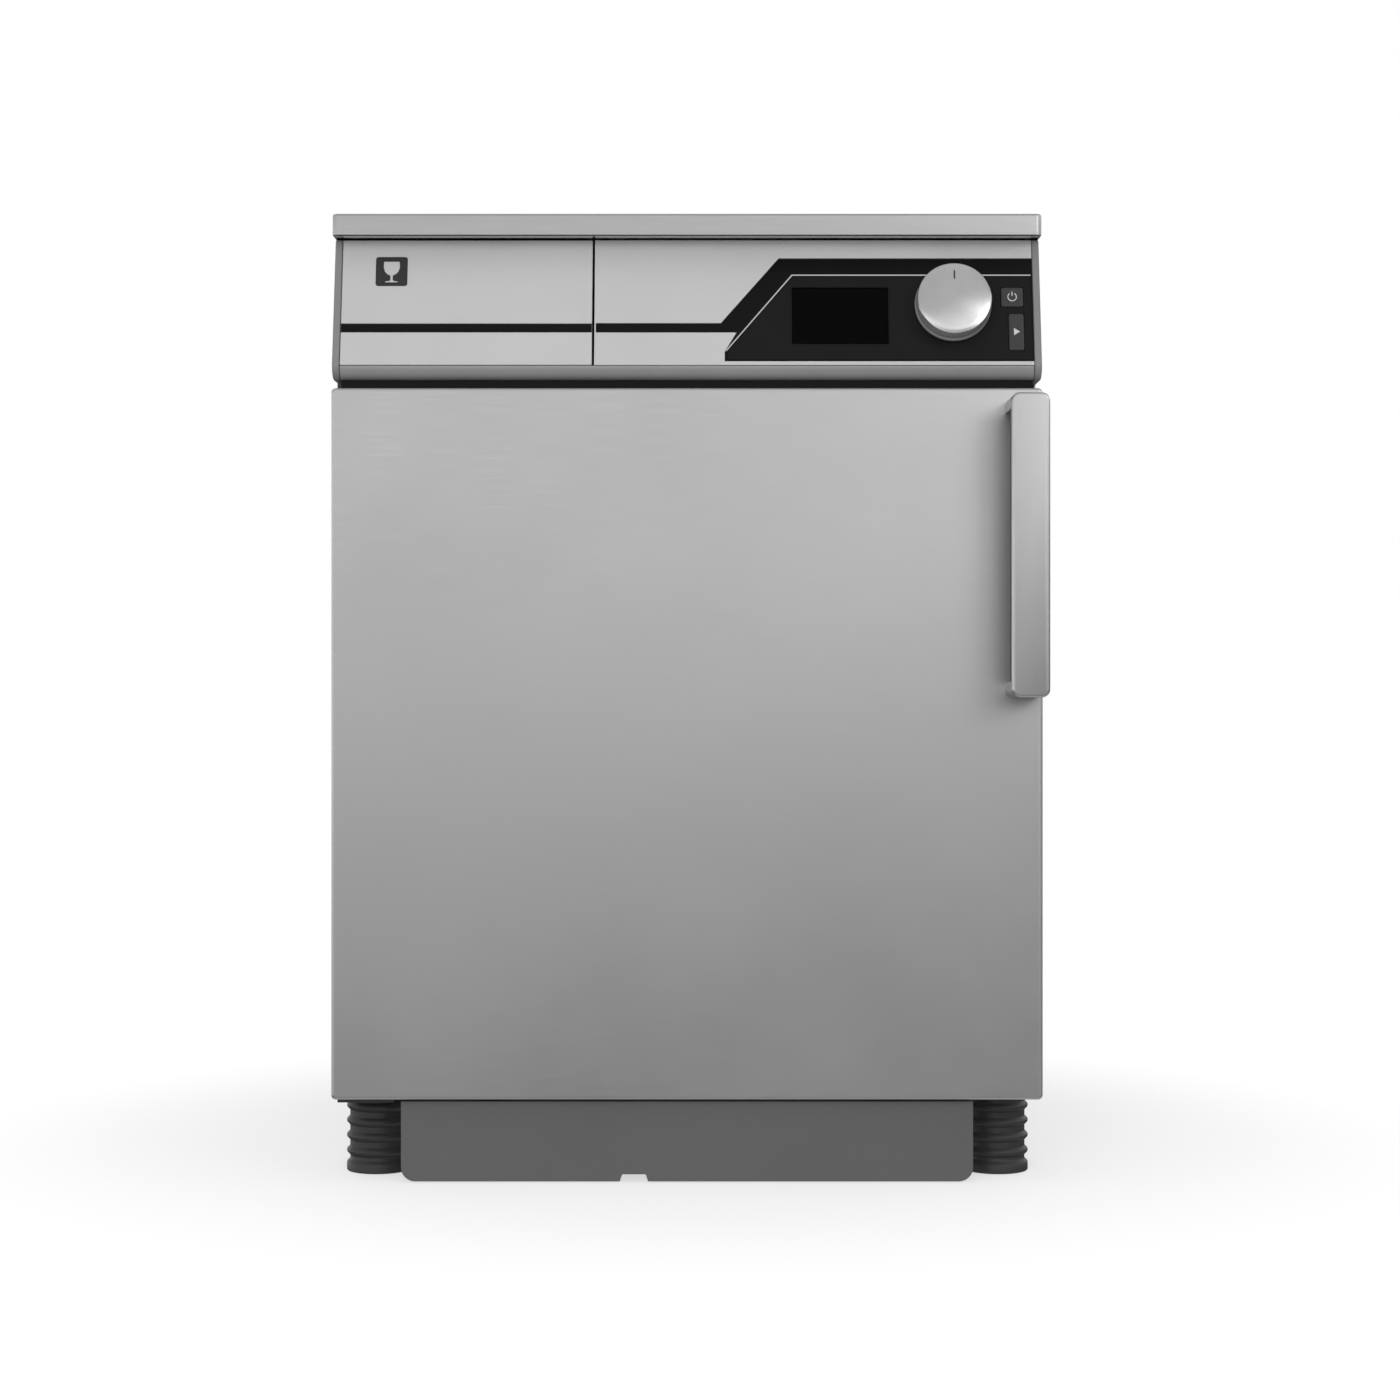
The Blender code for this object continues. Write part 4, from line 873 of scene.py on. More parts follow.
def inset():
    """Dark control area: black surround, raised grey field, bright trim and display."""
    rings = layered(grown, INSET, ((-0.0006, -0.0006), (-0.0002, -0.0007), (0, -0.0011), (0, -0.0038),
                                   (-0.001, -0.0042)))
    surround = loft("inset_surround", rings, "groove", "inset_black", replaces="control_inset", place=FACE)
    subtract(surround, *control_cutters())
    under_trim = TRIM_TOP - 0.0012
    corners = flat([(0.0345, 0.6968), (0.0345, 0.704), (0.0902, under_trim), (TRIM_END, under_trim),
                    (TRIM_END, 0.6968)])
    rings = layered(grown, corners, ((0, -0.0012), (0, -0.0004), (-0.0002, -0.0002)))
    subtract(loft("inset_field", rings, "inset", "inset_black", place=FACE), *control_cutters())
    line = flat([(0.033, 0.7042), (0.0892, TRIM_TOP), (TRIM_END, TRIM_TOP)])
    strip = grown(line, 0.00055, False) + grown(line, -0.00055, False)[::-1]
    loft("bright_trim", extruded(strip, at_z, 0, 0.0007), "bright", "trim_chrome",
         replaces="inset_trim", place=FACE @ Matrix.Translation((0, 0, -0.0006)))
    glass = layered(window, DISPLAY, ((0, -0.004), (0, -0.0011), (-0.0003, -0.0008)))
    loft("display_glass", glass, "display", "display_black", replaces="display_window", place=FACE)
    outer, middle = window(DISPLAY, 0.0016, 0.0025), window(DISPLAY, 0.0012, 0.0022)
    inner = window(DISPLAY, 0.0004)
    rings = [at_z(outer, -0.0003), at_z(middle, 0.0001), at_z(inner, 0.0001), at_z(inner, -0.001),
             at_z(outer, -0.001)]
    loft("display_frame", rings, "inset", "inset_black", closed=True, place=FACE)


def knob():
    """Fluted grip with a skirt, and a spun cap with a bright rim and a slightly domed face."""
    place = FACE @ Matrix.Translation((KNOB_X, up(KNOB_Z), 0))
    lo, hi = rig.box("program_knob")
    radius, height, seat, flute = (hi.x - lo.x) / 2, 0.022, 0.0165, 0.00035
    profile = [
        (0.003, -0.006), (0.003, 0.001), (radius - 0.004, 0.001), (radius - 0.0008, 0.0012),
        (radius, 0.002), (radius, 0.0042), (radius - 0.0006, 0.005), (radius - 0.0012, 0.0056),
        (radius - 0.0012, 0.0066, flute), (radius - 0.0014, seat - 0.0006, flute), (radius - 0.002, seat),
    ]
    turned("knob_grip", profile, "grip", "knob_aluminium", "knob", sides=192, place=place, sharp=50,
           ripple=lambda k: (1 + math.cos(math.pi / 2 * k)) / 2, replaces="program_knob")
    rim, rise = radius - 0.0034, 0.0022
    cap = [(radius - 0.0024, seat + FINE / 3), (radius - 0.0012, seat + 0.001),
           (radius - 0.0012, seat + 0.0018), (radius - 0.0018, seat + 0.0026), (rim, height - rise - 0.0002)]
    for k in range(9):
        part = 1 - k / 9
        cap.append(((rim - 0.0006) * part, height - rise * part ** 2))
    turned("knob_cap", cap, "knob", "knob_aluminium", "knob", sides=128, place=place)
    mark = rounded(0.0012, 0.0075, 0.0005, (0, radius - 0.0125), 3)
    loft("knob_pointer", extruded(mark, at_z, height - 0.0026, height - 0.0004), "ink", "plastic_black",
         "knob", place=place)


def buttons():
    """Two soft-edged keys with a power sign and a start triangle."""
    shapes = ((-0.0005, -0.005), (-0.0005, 0.0004), (-0.0007, 0.0009), (-0.0011, 0.0012),
              (-0.0019, 0.0014), (-0.0034, 0.0012))
    for name, area in (("power", POWER), ("start", START)):
        rings = [at_z(window(area, grow, 0.0016), level) for grow, level in shapes]
        loft(f"{name}_key_cap", rings, "button", "button_grey", f"{name}_key", replaces=f"{name}_button",
             place=FACE)
    x, s = (POWER[0] + POWER[1]) / 2, up((POWER[2] + POWER[3]) / 2)
    ring = arc((x, s), 0.004, 125, 415, 32) + arc((x, s), 0.0032, 125, 415, 32)[::-1]
    bar = rounded(0.0008, 0.0042, 0.0003, (x, s + 0.0028), 2)
    x, s = (START[0] + START[1]) / 2, up((START[2] + START[3]) / 2)
    triangle = [(x - 0.0022, s + 0.0032), (x + 0.003, s), (x - 0.0022, s - 0.0032)]
    for name, signs in (("power", (ring, bar)), ("start", (triangle,))):
        groups = [extruded(sign, at_z, 0.0011, 0.0016) for sign in signs]
        shells(f"{name}_symbol", groups, "mark", "button_grey", f"{name}_key", place=FACE)


def drawer_front():
    """Left part of the fascia, with a groove that carries the dark line on."""
    lo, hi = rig.box("drawer_front")
    front = loft("drawer_face", extruded(fascia_section(), at_x, lo.x, hi.x), "silver", "fascia_silver",
                 DRAWER, replaces="drawer_front")

    def line(past, thinner):
        x0, x1, z0, z1 = lo.x - past, hi.x + past, ARM_LOW + thinner, ARM_TOP - thinner
        return flat([(x0, z1), (x1, z1), (x1, z0), (x0, z0)])

    subtract(front, punch(line(0.01, 0), at_z, -0.0012, 0.01, FACE))
    soften(front, 0.0007, 3, 40)
    rings = layered(grown, line(-FINE, 0.0001), ((0, -0.0013), (0, -0.0006), (-0.0004, -0.0003)))
    loft("drawer_groove_strip", rings, "groove", "inset_black", DRAWER, place=FACE)
    glass_pictogram()


def glass_pictogram():
    """Dark tile with a plain stemmed glass cut out of it, so that the silver face shows."""
    x, base = -0.2515, up(0.7625)
    tile = rounded(0.027, 0.0262, 0.0022, (x, up(0.7738)), 5)
    piece = loft("glass_sign", extruded(tile, at_z, -0.0003, 0.0003), "ink", "plastic_black", DRAWER,
                 place=FACE)
    half = [(0.0066, 0.0205), (0.0069, 0.015), (0.0056, 0.0112), (0.0034, 0.009), (0.0011, 0.0079),
            (0.001, 0.004), (0.0022, 0.003), (0.0052, 0.0027), (0.0052, 0.0018)]
    outline = [(x + a, base + b) for a, b in half] + [(x - a, base + b) for a, b in half[::-1]]
    subtract(piece, punch(outline, at_z, -0.001, 0.001, FACE))


# ------------------------------ chamber


def front_frame():
    """Folded frame round the chamber mouth, with the slot for the striker."""
    lo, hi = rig.box("front_frame")
    mouth_lo, mouth_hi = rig.box("wash_chamber")
    web = lo.y + SHEET

    def mouth(inset, y):
        return at_y(rect(mouth_lo, mouth_hi, 0, 2, inset, 0.0315 - inset, 10), y)

    def edge(inset, y):
        return at_y(rect(lo, hi, 0, 2, inset, 0.002 - inset * 0.5, 10), y)

    rings = [edge(0, lo.y + 0.0006), edge(0, hi.y), edge(SHEET, hi.y), edge(SHEET, web), mouth(0, web),
             mouth(0, hi.y), mouth(SHEET, hi.y)]
    rings += [mouth(SHEET - rise, lo.y + y) for rise, y in
              ((0, 0.0016), (0.0003, 0.0009), (0.001, 0.0003), (0.0019, 0))]
    rings += [edge(0.0006, lo.y)]
    frame_piece = loft("mouth_frame", rings, "chamber", "stainless", closed=True, replaces="front_frame")
    striker_slot = rounded(0.022, 0.019, 0.003, (0.15, 0.656), 4)
    subtract(frame_piece, punch(striker_slot, at_y, -0.23, -0.2))
    rows = ((lo.x + 0.01, hi.x - 0.01), (0.13, 0.37, 0.61))
    fix_all("frame_screw", spots(lo.y, rows), (0, -1, 0), CABINET, 0.0034)


def chamber():
    """Deep-drawn wash chamber with a pressed rear wall, a sump opening and two basket rails."""
    lo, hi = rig.box("wash_chamber")
    radius, back = 0.0315, hi.y - SHEET
    shapes = [(0.074, 0.018, back - 0.0038), (0.06, 0.02, hi.y), (0.008, 0.024, hi.y - 0.002),
              (0, radius, hi.y - 0.016), (0, radius, lo.y), (SHEET, radius - SHEET, lo.y)]
    for inset, rise in quarter_steps(0.014, 6)[::-1]:
        shapes.append((SHEET + inset, max(0.006, radius - SHEET - inset), back - rise))
    shapes += [(0.07, 0.02, back), (0.074, 0.018, back - 0.0025)]
    tub = loft("wash_tub", framed(lo, hi, shapes, 12), "chamber", "chamber_steel", replaces="wash_chamber")
    drain, hub = circle((0, WASH_Y), 0.082, 64), circle((0, WASH_Y), 0.013, 32)
    subtract(tub, punch(drain, at_z, 0.19, 0.24), punch(hub, at_z, 0.62, 0.66))
    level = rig.box("glass_rack")[0].z - FINE
    for side, name in ((-1, "left"), (1, "right")):
        wall, gap = side * (hi.x - SHEET + 0.0005), side * 0.002
        section = [(wall, level - 0.014), (wall, level), (side * 0.24, level),
                   (side * 0.24, level - 0.006), (side * 0.2415, level - 0.006),
                   (side * 0.2415, level - 0.0015), (wall - gap, level - 0.0015), (wall - gap, level - 0.014)]
        prism(f"basket_rail_{name}", section, at_y, -0.195, 0.3, "bright", "chamber_steel")
    sump_ring(lo.z + SHEET)


def wash_turned(name, profile, mat, slot, body=CABINET, **more):
    """Closed section turned round the axis of the spray arms."""
    turned(name, profile, mat, slot, body, closed=True, place=WASH_AXIS, **more)


def sump_ring(floor_z):
    """Pressed collar where the sump is clamped to the chamber floor."""
    section = ((0.0825, 0.0001), (0.085, 0.0016), (0.091, 0.002), (0.094, 0.0012), (0.0955, 0.0001),
               (0.0955, -0.0002), (0.0825, -0.0002))
    wash_turned("sump_collar", [(r, floor_z + z) for r, z in section], "bright", "chamber_steel")


def gasket():
    """Door seal: clamped foot, hollow bulb and a thin outer lip."""
    lo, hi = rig.box("door_gasket")
    front, back = lo.y, hi.y
    shapes = [(0, back), (0, back - 0.001), (0.0008, back - 0.0016), (0.0006, back - 0.0028),
              (0.0014, front + 0.0012), (0.0022, front + 0.0004), (0.003, front), (0.0038, front + 0.0004),
              (0.0046, front + 0.0012), (0.0054, back - 0.0028), (0.0052, back - 0.0016),
              (0.006, back - 0.001), (0.006, back)]
    rings = framed(lo, hi, [(inset, 0.039 - inset, y) for inset, y in shapes], 12)
    loft("door_seal", rings, "seal", "seal_rubber", closed=True, replaces="door_gasket", sharp=50)


def hinges_and_lock():
    """Hinge plates and pins, the striker with its eye, and the door lock."""
    for end in ("upper", "lower"):
        paint(f"{end}_hinge_plate", "hinge")
        soften(NODES[f"{end}_hinge_plate"], 0.0008, 3)
        lo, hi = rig.box(f"{end}_hinge_pin")
        radius = (hi.x - lo.x) / 2
        profile = [(radius - 0.0006, lo.z), (radius, lo.z + 0.0006), (radius, hi.z - 0.0006),
                   (radius - 0.0006, hi.z)]
        turned(f"{end}_pin", profile, "bright", "pin_steel", sides=32, replaces=f"{end}_hinge_pin",
               place=upright((lo + hi) / 2))
    lo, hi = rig.box("door_striker")
    x, z, corner = (lo.x + hi.x) / 2, (lo.z + hi.z) / 2, 0.004
    half, bend = (hi.x - lo.x) / 2, hi.y - corner
    tongue = [(x - half, lo.y), (x + half, lo.y), (x + half, bend)]
    tongue += arc((x + half - corner, bend), corner, 0, 90, 6)
    tongue += arc((x - half + corner, bend), corner, 90, 180, 6)
    hook = prism("striker_tongue", tongue, at_z, z - 0.0045, z + 0.0045, "bright", "pin_steel", DOOR,
                 replaces="door_striker", width=0.0004)
    eye = circle((x, -0.205), 0.0035, 24)
    bake(hook)
    subtract(hook, punch(eye, at_z, z - 0.01, z + 0.01))
    paint("door_lock", "black")
    soften(NODES["door_lock"], 0.0012, 3)
    lo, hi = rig.box("door_lock")
    block("lock_cover", (lo.x + 0.006, lo.y + 0.012, hi.z - 0.0004),
          (hi.x - 0.006, hi.y - 0.006, hi.z + 0.0016), 0.0009, "grey", "plastic_grey")


# ------------------------------ wash system


POST_BORE = 0.0132  # radius of the hole in an arm for its post


def spray_arms():
    """Moulded arms with recessed nozzles and a hub, each with its nut and post."""
    for name, side, low, high in (("lower", 1, 0.241, 0.2545), ("upper", -1, 0.5985, 0.612)):
        body = f"{name}_arm"
        lo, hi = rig.box(f"{name}_spray_arm")
        blade(f"{name}_blade", low, high, hi.x, body, f"{name}_spray_arm")
        hub = [(POST_BORE, lo.z), (0.026, lo.z), (0.027, lo.z + 0.001), (0.027, hi.z - 0.001),
               (0.026, hi.z), (POST_BORE, hi.z)]
        wash_turned(f"{name}_hub", hub, "arm", "arm_grey", body)
        nozzles(f"{name}_nozzle", high if side > 0 else low, side, hi.x, body)
        wing_nut(f"{name}_nut", f"{name}_arm_nut")
        paint(f"{name}_arm_post", "bright")


def blade(name, low, high, reach, body, node):
    """Two tapering wings with rounded tips and soft edges, bored for the post."""
    root, shoulder, tip = 0.02, 0.019, 0.012
    outline = []
    for sign in (1, -1):
        outline += arc((sign * (reach - tip), 0), tip, -90 * sign, -90 * sign + 180, 16)
        outline += [(sign * x, sign * y) for x, y in ((0.03, shoulder), (0, root), (-0.03, shoulder))]
    half_width = (root + tip) / 2
    rings = [[(x * (1 - inset / reach), y * (1 - inset / half_width), z) for x, y in outline]
             for inset, z in plate_levels(low, high, 0.004, 4)]
    arm = loft(name, rings, "arm", "arm_grey", body, replaces=node, place=WASH_AXIS)
    subtract(arm, punch(circle((0, 0), POST_BORE, 32), at_z, low - 0.01, high + 0.01, WASH_AXIS))


def nozzles(name, level, side, reach, body):
    """Slotted jets along both wings."""
    groups, rise = [], 0.0012 * side
    for k in range(7):
        for sign in (1, -1):
            centre = (sign * (0.048 + (reach - 0.066) * k / 6), WASH_Y + (0.003 if k % 2 else -0.003))
            ring, inner = circle(centre, 0.0042, 20), circle(centre, 0.0024, 20)
            groups.append([at_z(ring, level - rise * 0.3), at_z(ring, level + rise * 0.6),
                           at_z(inner, level + rise), at_z(inner, level + rise * 0.2)])
    shells(name, groups, "nut", "nut_dark", body)


def wing_nut(name, node):
    """Round retaining nut with grips round its edge."""
    low, high = (corner.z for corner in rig.box(node))
    radius, grip = 0.018, 0.0014
    profile = [(radius - 0.0012, low, grip), (radius, low + 0.001, grip), (radius, high - 0.0016, grip),
               (radius - 0.001, high - 0.0004, grip), (radius - 0.0022, high, grip)]
    rings = lathe(profile, 96, lambda k: max(0, math.cos(math.pi * k / 6)) ** 2, WASH_Y)
    loft(name, rings, "nut", "nut_dark", replaces=node, sharp=45)


def glass_basket():
    """Coated wire basket: bottom grid, upright wires and three rims."""
    lo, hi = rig.box("glass_rack")
    thin, thick, count = 0.0016, 0.0026, 19
    x0, x1, y0, y1 = lo.x + thick, hi.x - thick, lo.y + thick, hi.y - thick
    low, high = lo.z + thick, hi.z - thick
    bm = bmesh.new()
    loop = rect((x0, y0), (x1, y1), 0, 1, 0, 0.014, 6)
    for z, radius in ((high, thick), (low, thick), ((low + high) / 2 + 0.006, thin)):
        pipe(bm, at_z(loop, z), radius, 8, closed=True)
    for k in range(1, count):
        x, y = x0 + (x1 - x0) * k / count, y0 + (y1 - y0) * k / count
        pipe(bm, bent_wire([(x, y0, high), (x, y0, low), (x, y1, low), (x, y1, high)]), thin, 6)
        if k % 2:
            base = low + 2 * thin
            pipe(bm, bent_wire([(x0, y, high), (x0, y, base), (x1, y, base), (x1, y, high)]), thin, 6)
    add("glass_basket", bm, "rack", "rack_blue", replaces="glass_rack", sharp=60)
    basket_fingers(x0, x1, y0, y1, low + 0.0045)


def bent_wire(corners, radius=0.008, steps=4):
    """Path with its inner corners rounded."""
    points = [Vector(p) for p in corners]
    path = [points[0]]
    for before, corner, after in zip(points, points[1:], points[2:]):
        a = corner + (before - corner).normalized() * radius
        b = corner + (after - corner).normalized() * radius
        for k in range(steps + 1):
            t = k / steps
            path.append(a.lerp(corner, t).lerp(corner.lerp(b, t), t))
    return path + [points[-1]]


def basket_fingers(x0, x1, y0, y1, base):
    """Rows of bent wires that hold the stemmed glasses apart."""
    bm = bmesh.new()
    rows, posts, wire, top = 5, 12, 0.0014, base + 0.04
    for row in range(1, rows):
        x = x0 + (x1 - x0) * row / rows
        pipe(bm, [(x, y0 + 0.01, base), (x, y1 - 0.01, base)], wire, 6)
        for k in range(posts):
            y = y0 + 0.028 + (y1 - y0 - 0.056) * k / (posts - 1)
            arch = [(x, y - 0.007, base), (x, y - 0.006, top), (x, y + 0.006, top), (x, y + 0.007, base)]
            pipe(bm, bent_wire(arch, 0.005, 3), wire, 6)
    add("basket_fingers", bm, "rack", "rack_blue", sharp=60)


def sump_and_filter():
    """Finishes of the sump and the heater, and the filter with its two lifting loops."""
    paint("sump", "grey")
    paint("wash_heater", "heater")
    low, top = (corner.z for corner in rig.box("sump_filter"))
    plate = [(0.018, top - 0.002), (0.0765, top - 0.002), (0.077, top - 0.001), (0.0765, top),
             (0.07, top), (0.056, top - 0.0008), (0.03, top - 0.0008), (0.025, top), (0.018, top)]
    wash_turned("filter_plate", plate, "mesh", "filter_grey", replaces="sump_filter")
    cup = [(0.0535, top - 0.0022), (0.055, top - 0.0022), (0.055, low + 0.003), (0.053, low),
           (0.018, low), (0.018, low + 0.0016), (0.052, low + 0.0018), (0.0535, low + 0.004)]
    wash_turned("filter_cup", cup, "mesh", "filter_grey")
    rim = [(0.055, top - 0.0022), (0.0575, top - 0.0024), (0.0575, top - 0.005), (0.055, top - 0.006)]
    wash_turned("filter_rim", rim, "grey", "filter_grey")
    for name, x in (("filter_grip_1", -0.034), ("filter_grip_2", 0.034)):
        loop = [(x, WASH_Y + y, top + z) for y, z in
                ((-0.012, -0.001), (-0.012, 0.006), (0.012, 0.006), (0.012, -0.001))]
        bm = bmesh.new()
        pipe(bm, bent_wire(loop, 0.004, 4), 0.0012, 8)
        add(name, bm, "bright", "pin_steel", sharp=60)


# ------------------------------ machine room and drawer


def machine_room():
    """Finishes and fittings of the pumps, the boiler, the valve and the hoses."""
    finishes = {
        "pump_volute": "black", "pump_rotor": "rotor", "drain_pump": "black", "boiler": "jacket",
        "inlet_valve": "valve", "dosing_pump": "black", "control_board": "board", "base_tray": "zinc",
        "drain_outlet": "black", "mains_gland": "black", "suction_hose": "hose", "riser_hose": "hose",
        "rinse_hose": "hose", "drain_hose": "hose",
    }
    for node, mat in finishes.items():
        paint(node, mat)
    for node in ("inlet_valve", "dosing_pump", "control_board", "pump_volute", "drain_pump", "base_tray"):
        soften(NODES[node], 0.0006)
    motor()
    boiler_fittings()
    clamps()
    board_chips()
    connection_recess()
    drawer_inside()


def motor():
    """Finned motor case with an end cap, and its terminal box."""
    lo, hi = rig.box("pump_motor")
    x, _, z = (lo + hi) / 2
    fin = 0.0028
    profile = [(0.0085, 0.0225), (0.03, 0.0225), (0.0425, 0.029), (0.0446, 0.031), (0.0446, 0.034),
               (0.0448, 0.0345, fin), (0.0448, 0.098, fin), (0.0446, 0.0985), (0.045, 0.104),
               (0.0438, 0.109), (0.038, 0.116), (0.0085, 0.116)]
    turned("motor_case", profile, "cast", "motor_metal", sides=192, ripple=lambda k: k % 8 < 4,
           closed=True, replaces="pump_motor", place=lying((x, -0.034, z), "X"))
    block("motor_terminals", (x - 0.016, lo.y + 0.04, z + 0.0405), (x + 0.016, lo.y + 0.078, z + 0.053),
          0.002, "black", "plastic_black")


def boiler_fittings():
    """Clamping bands round the insulated boiler, and its end flange."""
    lo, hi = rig.box("boiler")
    centre, radius = (lo + hi) / 2, (hi.z - lo.z) / 2
    strap = [(radius + 0.0001, -0.006), (radius + 0.001, -0.0055), (radius + 0.001, 0.0055),
             (radius + 0.0001, 0.006), (radius - 0.0004, 0.0)]
    flange = [(0.03, 0), (0.03, 0.0015), (0.024, 0.0035), (0.012, 0.004)]
    for name, x, profile, slot in (("boiler_band_1", lo.x + 0.075, strap, "zinc_steel"),
                                   ("boiler_band_2", hi.x - 0.075, strap, "zinc_steel"),
                                   ("boiler_flange", lo.x - 0.0034, flange, "boiler_jacket")):
        turned(name, profile, "bright", slot, closed=profile is strap,
               place=lying((x, centre.y, centre.z), "Y"))


def clamps():
    """Worm-drive clips near the hose ends."""
    clips = (
        ("suction", (0.0915, WASH_Y - 0.001, 0.1645), (1, 0, -0.12), 0.0125),
        ("pump_outlet", (0.231, -0.034, 0.1285), (1, 0, 0.05), 0.0105),
        ("rinse", (0.205, 0.232, 0.1403), (1, 0, 0.03), 0.0075),
        ("drain", (-0.15, WASH_Y + 0.04, 0.1648), (0, 1, -0.02), 0.0095),
    )
    for name, centre, along, radius in clips:
        band = [(radius, -0.0045), (radius + 0.0007, -0.0042), (radius + 0.0007, 0.0042), (radius, 0.0045)]
        turned(f"{name}_clip", band, "bright", "zinc_steel", sides=48, closed=True,
               place=aimed(centre, along))


def board_chips():
    """Components on the rear of the control board."""
    draw = random.Random(7).random
    groups = []
    for _ in range(16):
        x, s = 0.085 + 0.19 * draw(), up(0.712) + 0.062 * draw()
        w, h, t = 0.004 + 0.008 * draw(), 0.003 + 0.006 * draw(), 0.001 + 0.003 * draw()
        groups.append(slab((x, s, -0.0241 - t), (x + w, s + h, -0.0239)))
    soften(shells("board_chips", groups, "chip", "plastic_black", place=FACE), 0.0003)


def connection_recess():
    """Recess tray with soft corners, and the thread of the water inlet."""
    lo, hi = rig.box("connection_plate")
    back, front = lo.y + SHEET, hi.y - 0.0011
    shapes = [(0.0095, 0.008, back), (0.008, 0.009, back + 0.0015), (0.008, 0.009, front - 0.0014),
              (0.0072, 0.01, front - 0.0004), (0.0062, 0.01, front), (0, 0.004, front),
              (0, 0.004, front - 0.0013), (0.0065, 0.01, front - 0.0013), (0.0066, 0.01, back),
              (0.008, 0.009, back - SHEET)]
    tray = loft("recess_tray", framed(lo, hi, shapes, 6), "zinc", "zinc_steel", replaces="connection_plate")
    x, z, reach = -0.24, 0.16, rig.box("inlet_valve")[1].y
    inlet = circle((x, z), 0.0145, 40)
    subtract(tray, punch(inlet, at_y, 0.27, 0.3))
    thread = []
    for k in range(14):
        y = reach - 0.0225 + 0.0015 * k
        thread += [(0.0131, y), (0.0134, y + 0.0007)]
    profile = [(0.0125, reach - 0.0235), *thread, (0.0125, reach)]
    turned("inlet_thread", profile, "valve", "valve_white", closed=True, place=lying((x, 0, z), "X", -1))


def drawer_inside():
    """Finishes of the drawer box and its housing, with ribs in the box and a siphon in one tank."""
    paint("drawer_box", "white")
    soften(NODES["drawer_box"], 0.0007)
    paint("drawer_housing", "grey")
    lo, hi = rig.box("drawer_box")
    groups = []
    for y in [lo.y + 0.03 + 0.032 * k for k in range(5)]:
        for x0, x1 in ((lo.x + 0.0018, lo.x + 0.003), (-0.1524, -0.1508)):
            groups.append(slab((x0, y, lo.z + 0.004), (x1, y + 0.0012, hi.z - 0.012)))
    soften(shells("drawer_ribs", groups, "white", "drawer_white", DRAWER), 0.0003)
    place = Matrix.Translation((-0.12, hi.y - 0.03, 0))
    cap = [(0.0001, hi.z - 0.03), (0.011, hi.z - 0.03), (0.012, hi.z - 0.029), (0.012, hi.z - 0.021),
           (0.011, hi.z - 0.02), (0.0001, hi.z - 0.02)]
    turned("siphon_cap", cap, "rack", "rack_blue", DRAWER, sides=40, place=place)
    column = [(0.005, lo.z + 0.0018), (0.0045, hi.z - 0.029)]
    turned("siphon_tube", column, "white", "drawer_white", DRAWER, sides=32, place=place)


# ------------------------------ stage


def world():
    """White background for the camera, studio gradient for light and reflections."""
    scene_world = bpy.data.worlds.new("studio")
    bpy.context.scene.world = scene_world
    scene_world.use_nodes = True
    tree = scene_world.node_tree
    around_us = made(tree, "TexCoord", {}, "Generated")
    x = made(tree, "SeparateXYZ", {"Vector": around_us}, "X")
    lean = -0.17  # turns the gradient a little about the view axis
    tilt = made(tree, "Math", {0: x, 1: lean, 2: x.node.outputs["Z"]}, "Value", operation="MULTIPLY_ADD")
    tone = made(tree, "ValToRGB", {"Fac": ranged(tree, tilt, {"From Min": -1})}, "Color")
    stops = ((0.0, 0.56), (0.17, 0.41), (0.35, 0.09), (0.44, 0.16), (0.5, 0.6), (0.59, 1.8), (0.7, 0.55),
             (1.0, 0.66))  # straight down to straight up
    elements = tone.node.color_ramp.elements
    while len(elements) < len(stops):
        elements.new(0.5)
    for element, (at, value) in zip(elements, stops):
        element.position = at
        element.color = (value, value, value, 1)
    seen = made(tree, "LightPath", {}, "Is Camera Ray")
    feed(tree, tree.nodes["Background"], {"Color": mixed(tree, seen, tone, (1, 1, 1, 1)), "Strength": 1.0})


def beside_machine(tree, place):
    """0 on the floor right under the machine, 1 from just inside its outline outwards."""
    away = made(tree, "VectorMath", {0: place}, "Vector", operation="ABSOLUTE")
    away = made(tree, "VectorMath", {0: away, 1: (0.26, 0.17, 0)}, "Vector", operation="SUBTRACT")
    away = made(tree, "VectorMath", {0: away, 1: (0, 0, 0)}, "Vector", operation="MAXIMUM")
    away = made(tree, "VectorMath", {0: away}, "Value", operation="LENGTH")
    return ranged(tree, away, {"From Max": 0.05}, interpolation_type="SMOOTHSTEP")


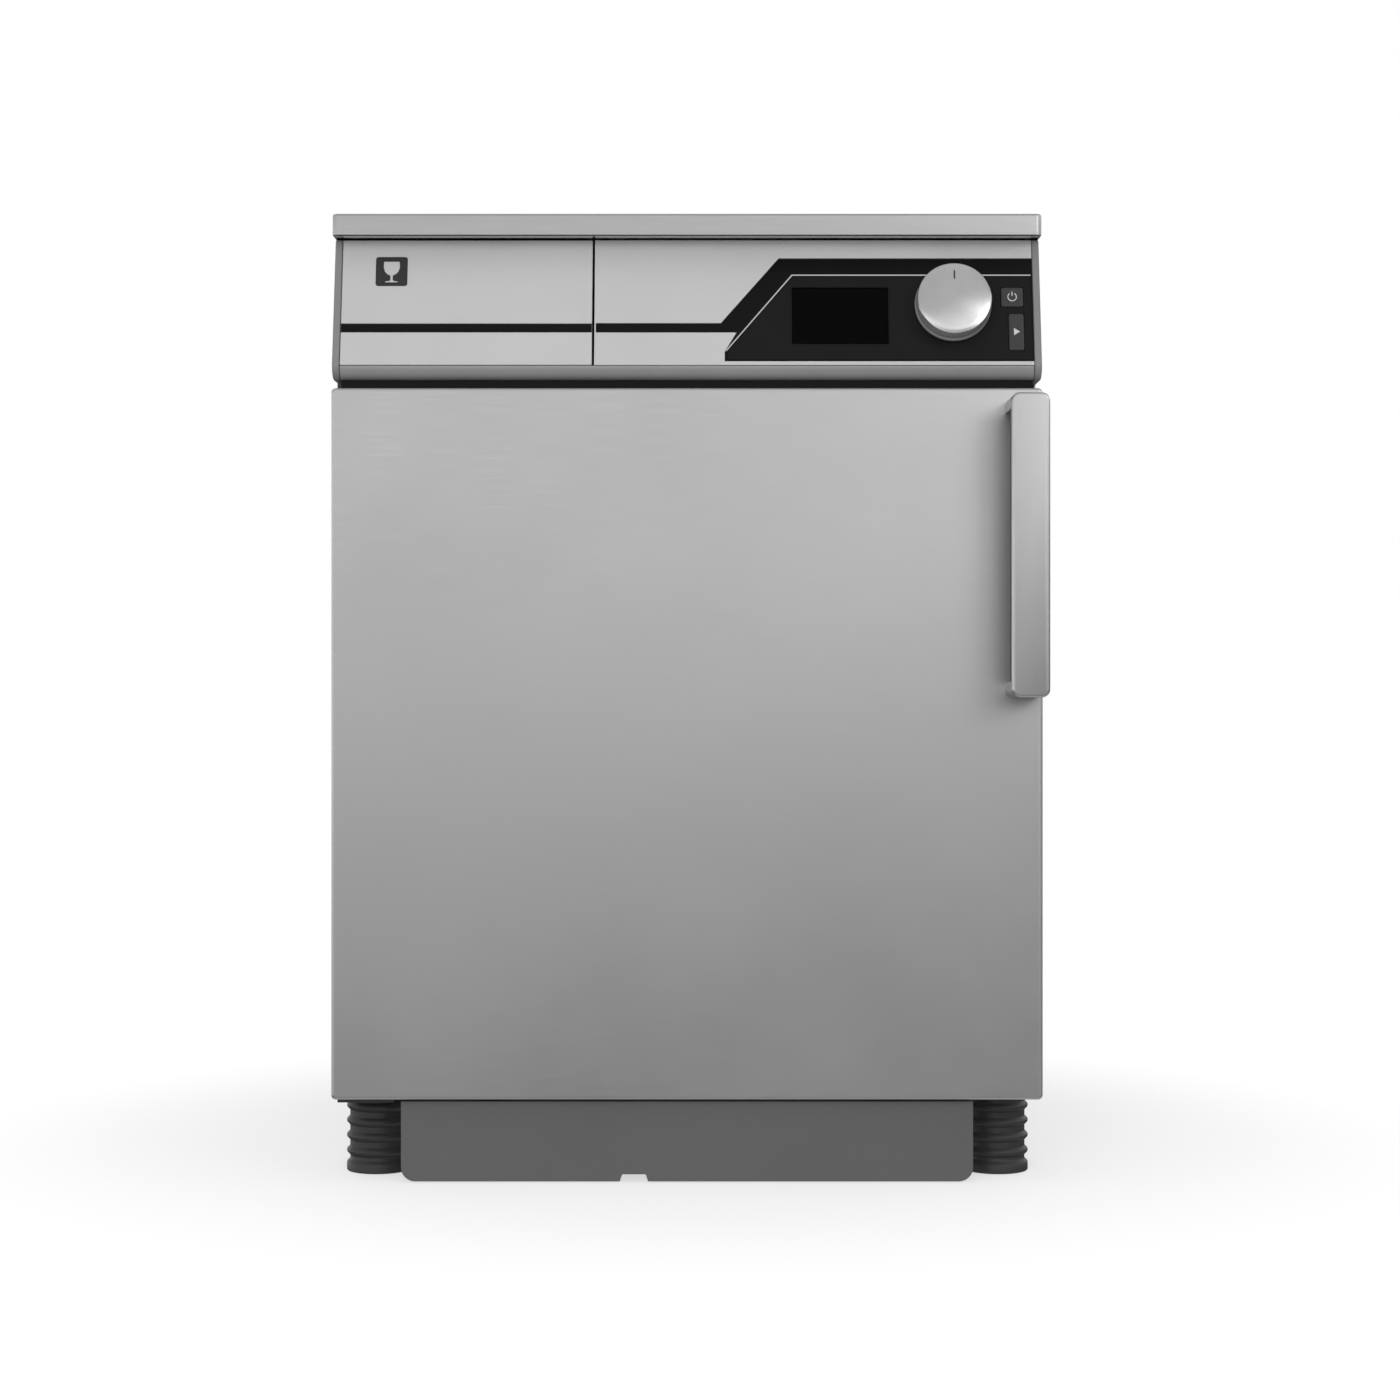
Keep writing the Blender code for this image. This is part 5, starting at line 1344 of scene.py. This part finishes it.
def floor_paper():
    """Matt white that glows more with the distance, so that the floor has no edge."""
    mat, tree, shader = principled("floor_paper")
    feed(tree, shader, {"Base Color": (0.9, 0.9, 0.9, 1), "Roughness": 0.9, "Specular IOR Level": 0.1})
    place = own_space(tree)
    away = made(tree, "VectorMath", {0: place}, "Value", operation="LENGTH")
    fade = ranged(tree, away, {"From Min": 0.36, "From Max": 0.8, "To Min": 0.6},
                  interpolation_type="SMOOTHSTEP")
    lit = made(tree, "Math", {0: fade, 1: beside_machine(tree, place)}, "Value", operation="MULTIPLY")
    glow = made(tree, "Emission", {"Strength": 1.02}, "Emission")
    mix = made(tree, "MixShader", {"Fac": lit, 1: shader.outputs["BSDF"], 2: glow}, "Shader")
    tree.links.new(mix, tree.nodes["Material Output"].inputs["Surface"])
    return mat


def floor():
    """Pale floor that fades into the white background."""
    bm = bmesh.new()
    bm.faces.new([bm.verts.new((x, y, -0.0002)) for x, y in circle((0, 0), 12, 64)])
    obj = new_object("floor", bm)
    obj.data.materials.append(floor_paper())
    obj.visible_glossy = False
    obj.visible_diffuse = False
    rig.stage(obj)


def lamp(name, place, height, size, watts, mirrored=False):
    """Square soft box aimed at a height on the machine's axis; shiny surfaces show it if mirrored."""
    data = bpy.data.lights.new(name, "AREA")
    data.shape, data.size, data.energy = "SQUARE", size, watts
    obj = bpy.data.objects.new(name, data)
    obj.visible_glossy = mirrored
    obj.location = place
    obj.rotation_euler = (Vector((0, 0, height)) - Vector(place)).to_track_quat("-Z", "Y").to_euler()
    bpy.context.scene.collection.objects.link(obj)


def camera():
    """Level view from straight ahead, like the photograph's."""
    data = bpy.data.cameras.new("camera")
    data.lens, data.sensor_width = 70.2, 36
    obj = bpy.data.objects.new("camera", data)
    obj.location = (0.011, -2.575, 0.409)
    obj.rotation_euler = (math.pi / 2, 0, 0)
    bpy.context.scene.collection.objects.link(obj)
    bpy.context.scene.camera = obj


def stage():
    world()
    floor()
    lamp("key", (-0.7, -1.7, 2.9), 0.5, 1.6, 7)
    lamp("side", (1.5, -2.3, 1.5), 0.45, 0.8, 6, mirrored=True)
    lamp("front", (-0.3, -3.0, 0.8), 0.5, 1.6, 54)
    camera()
    bpy.context.scene.view_settings.view_transform = "Standard"


# ------------------------------ build


def build():
    worktop()
    side_panel("side_panel_left", -1)
    side_panel("side_panel_right", 1)
    for make in (rear_panel, plinth, feet, door, handle, fascia, inset, knob, buttons, drawer_front,
                 front_frame, chamber, gasket, hinges_and_lock, spray_arms, glass_basket,
                 sump_and_filter, machine_room, stage):
        make()


build()
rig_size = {"cad": [list(v) for v in CAD_BOX], "visual": [list(v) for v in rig.bounds()]}
json.dump(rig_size, open("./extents.json", "w"))
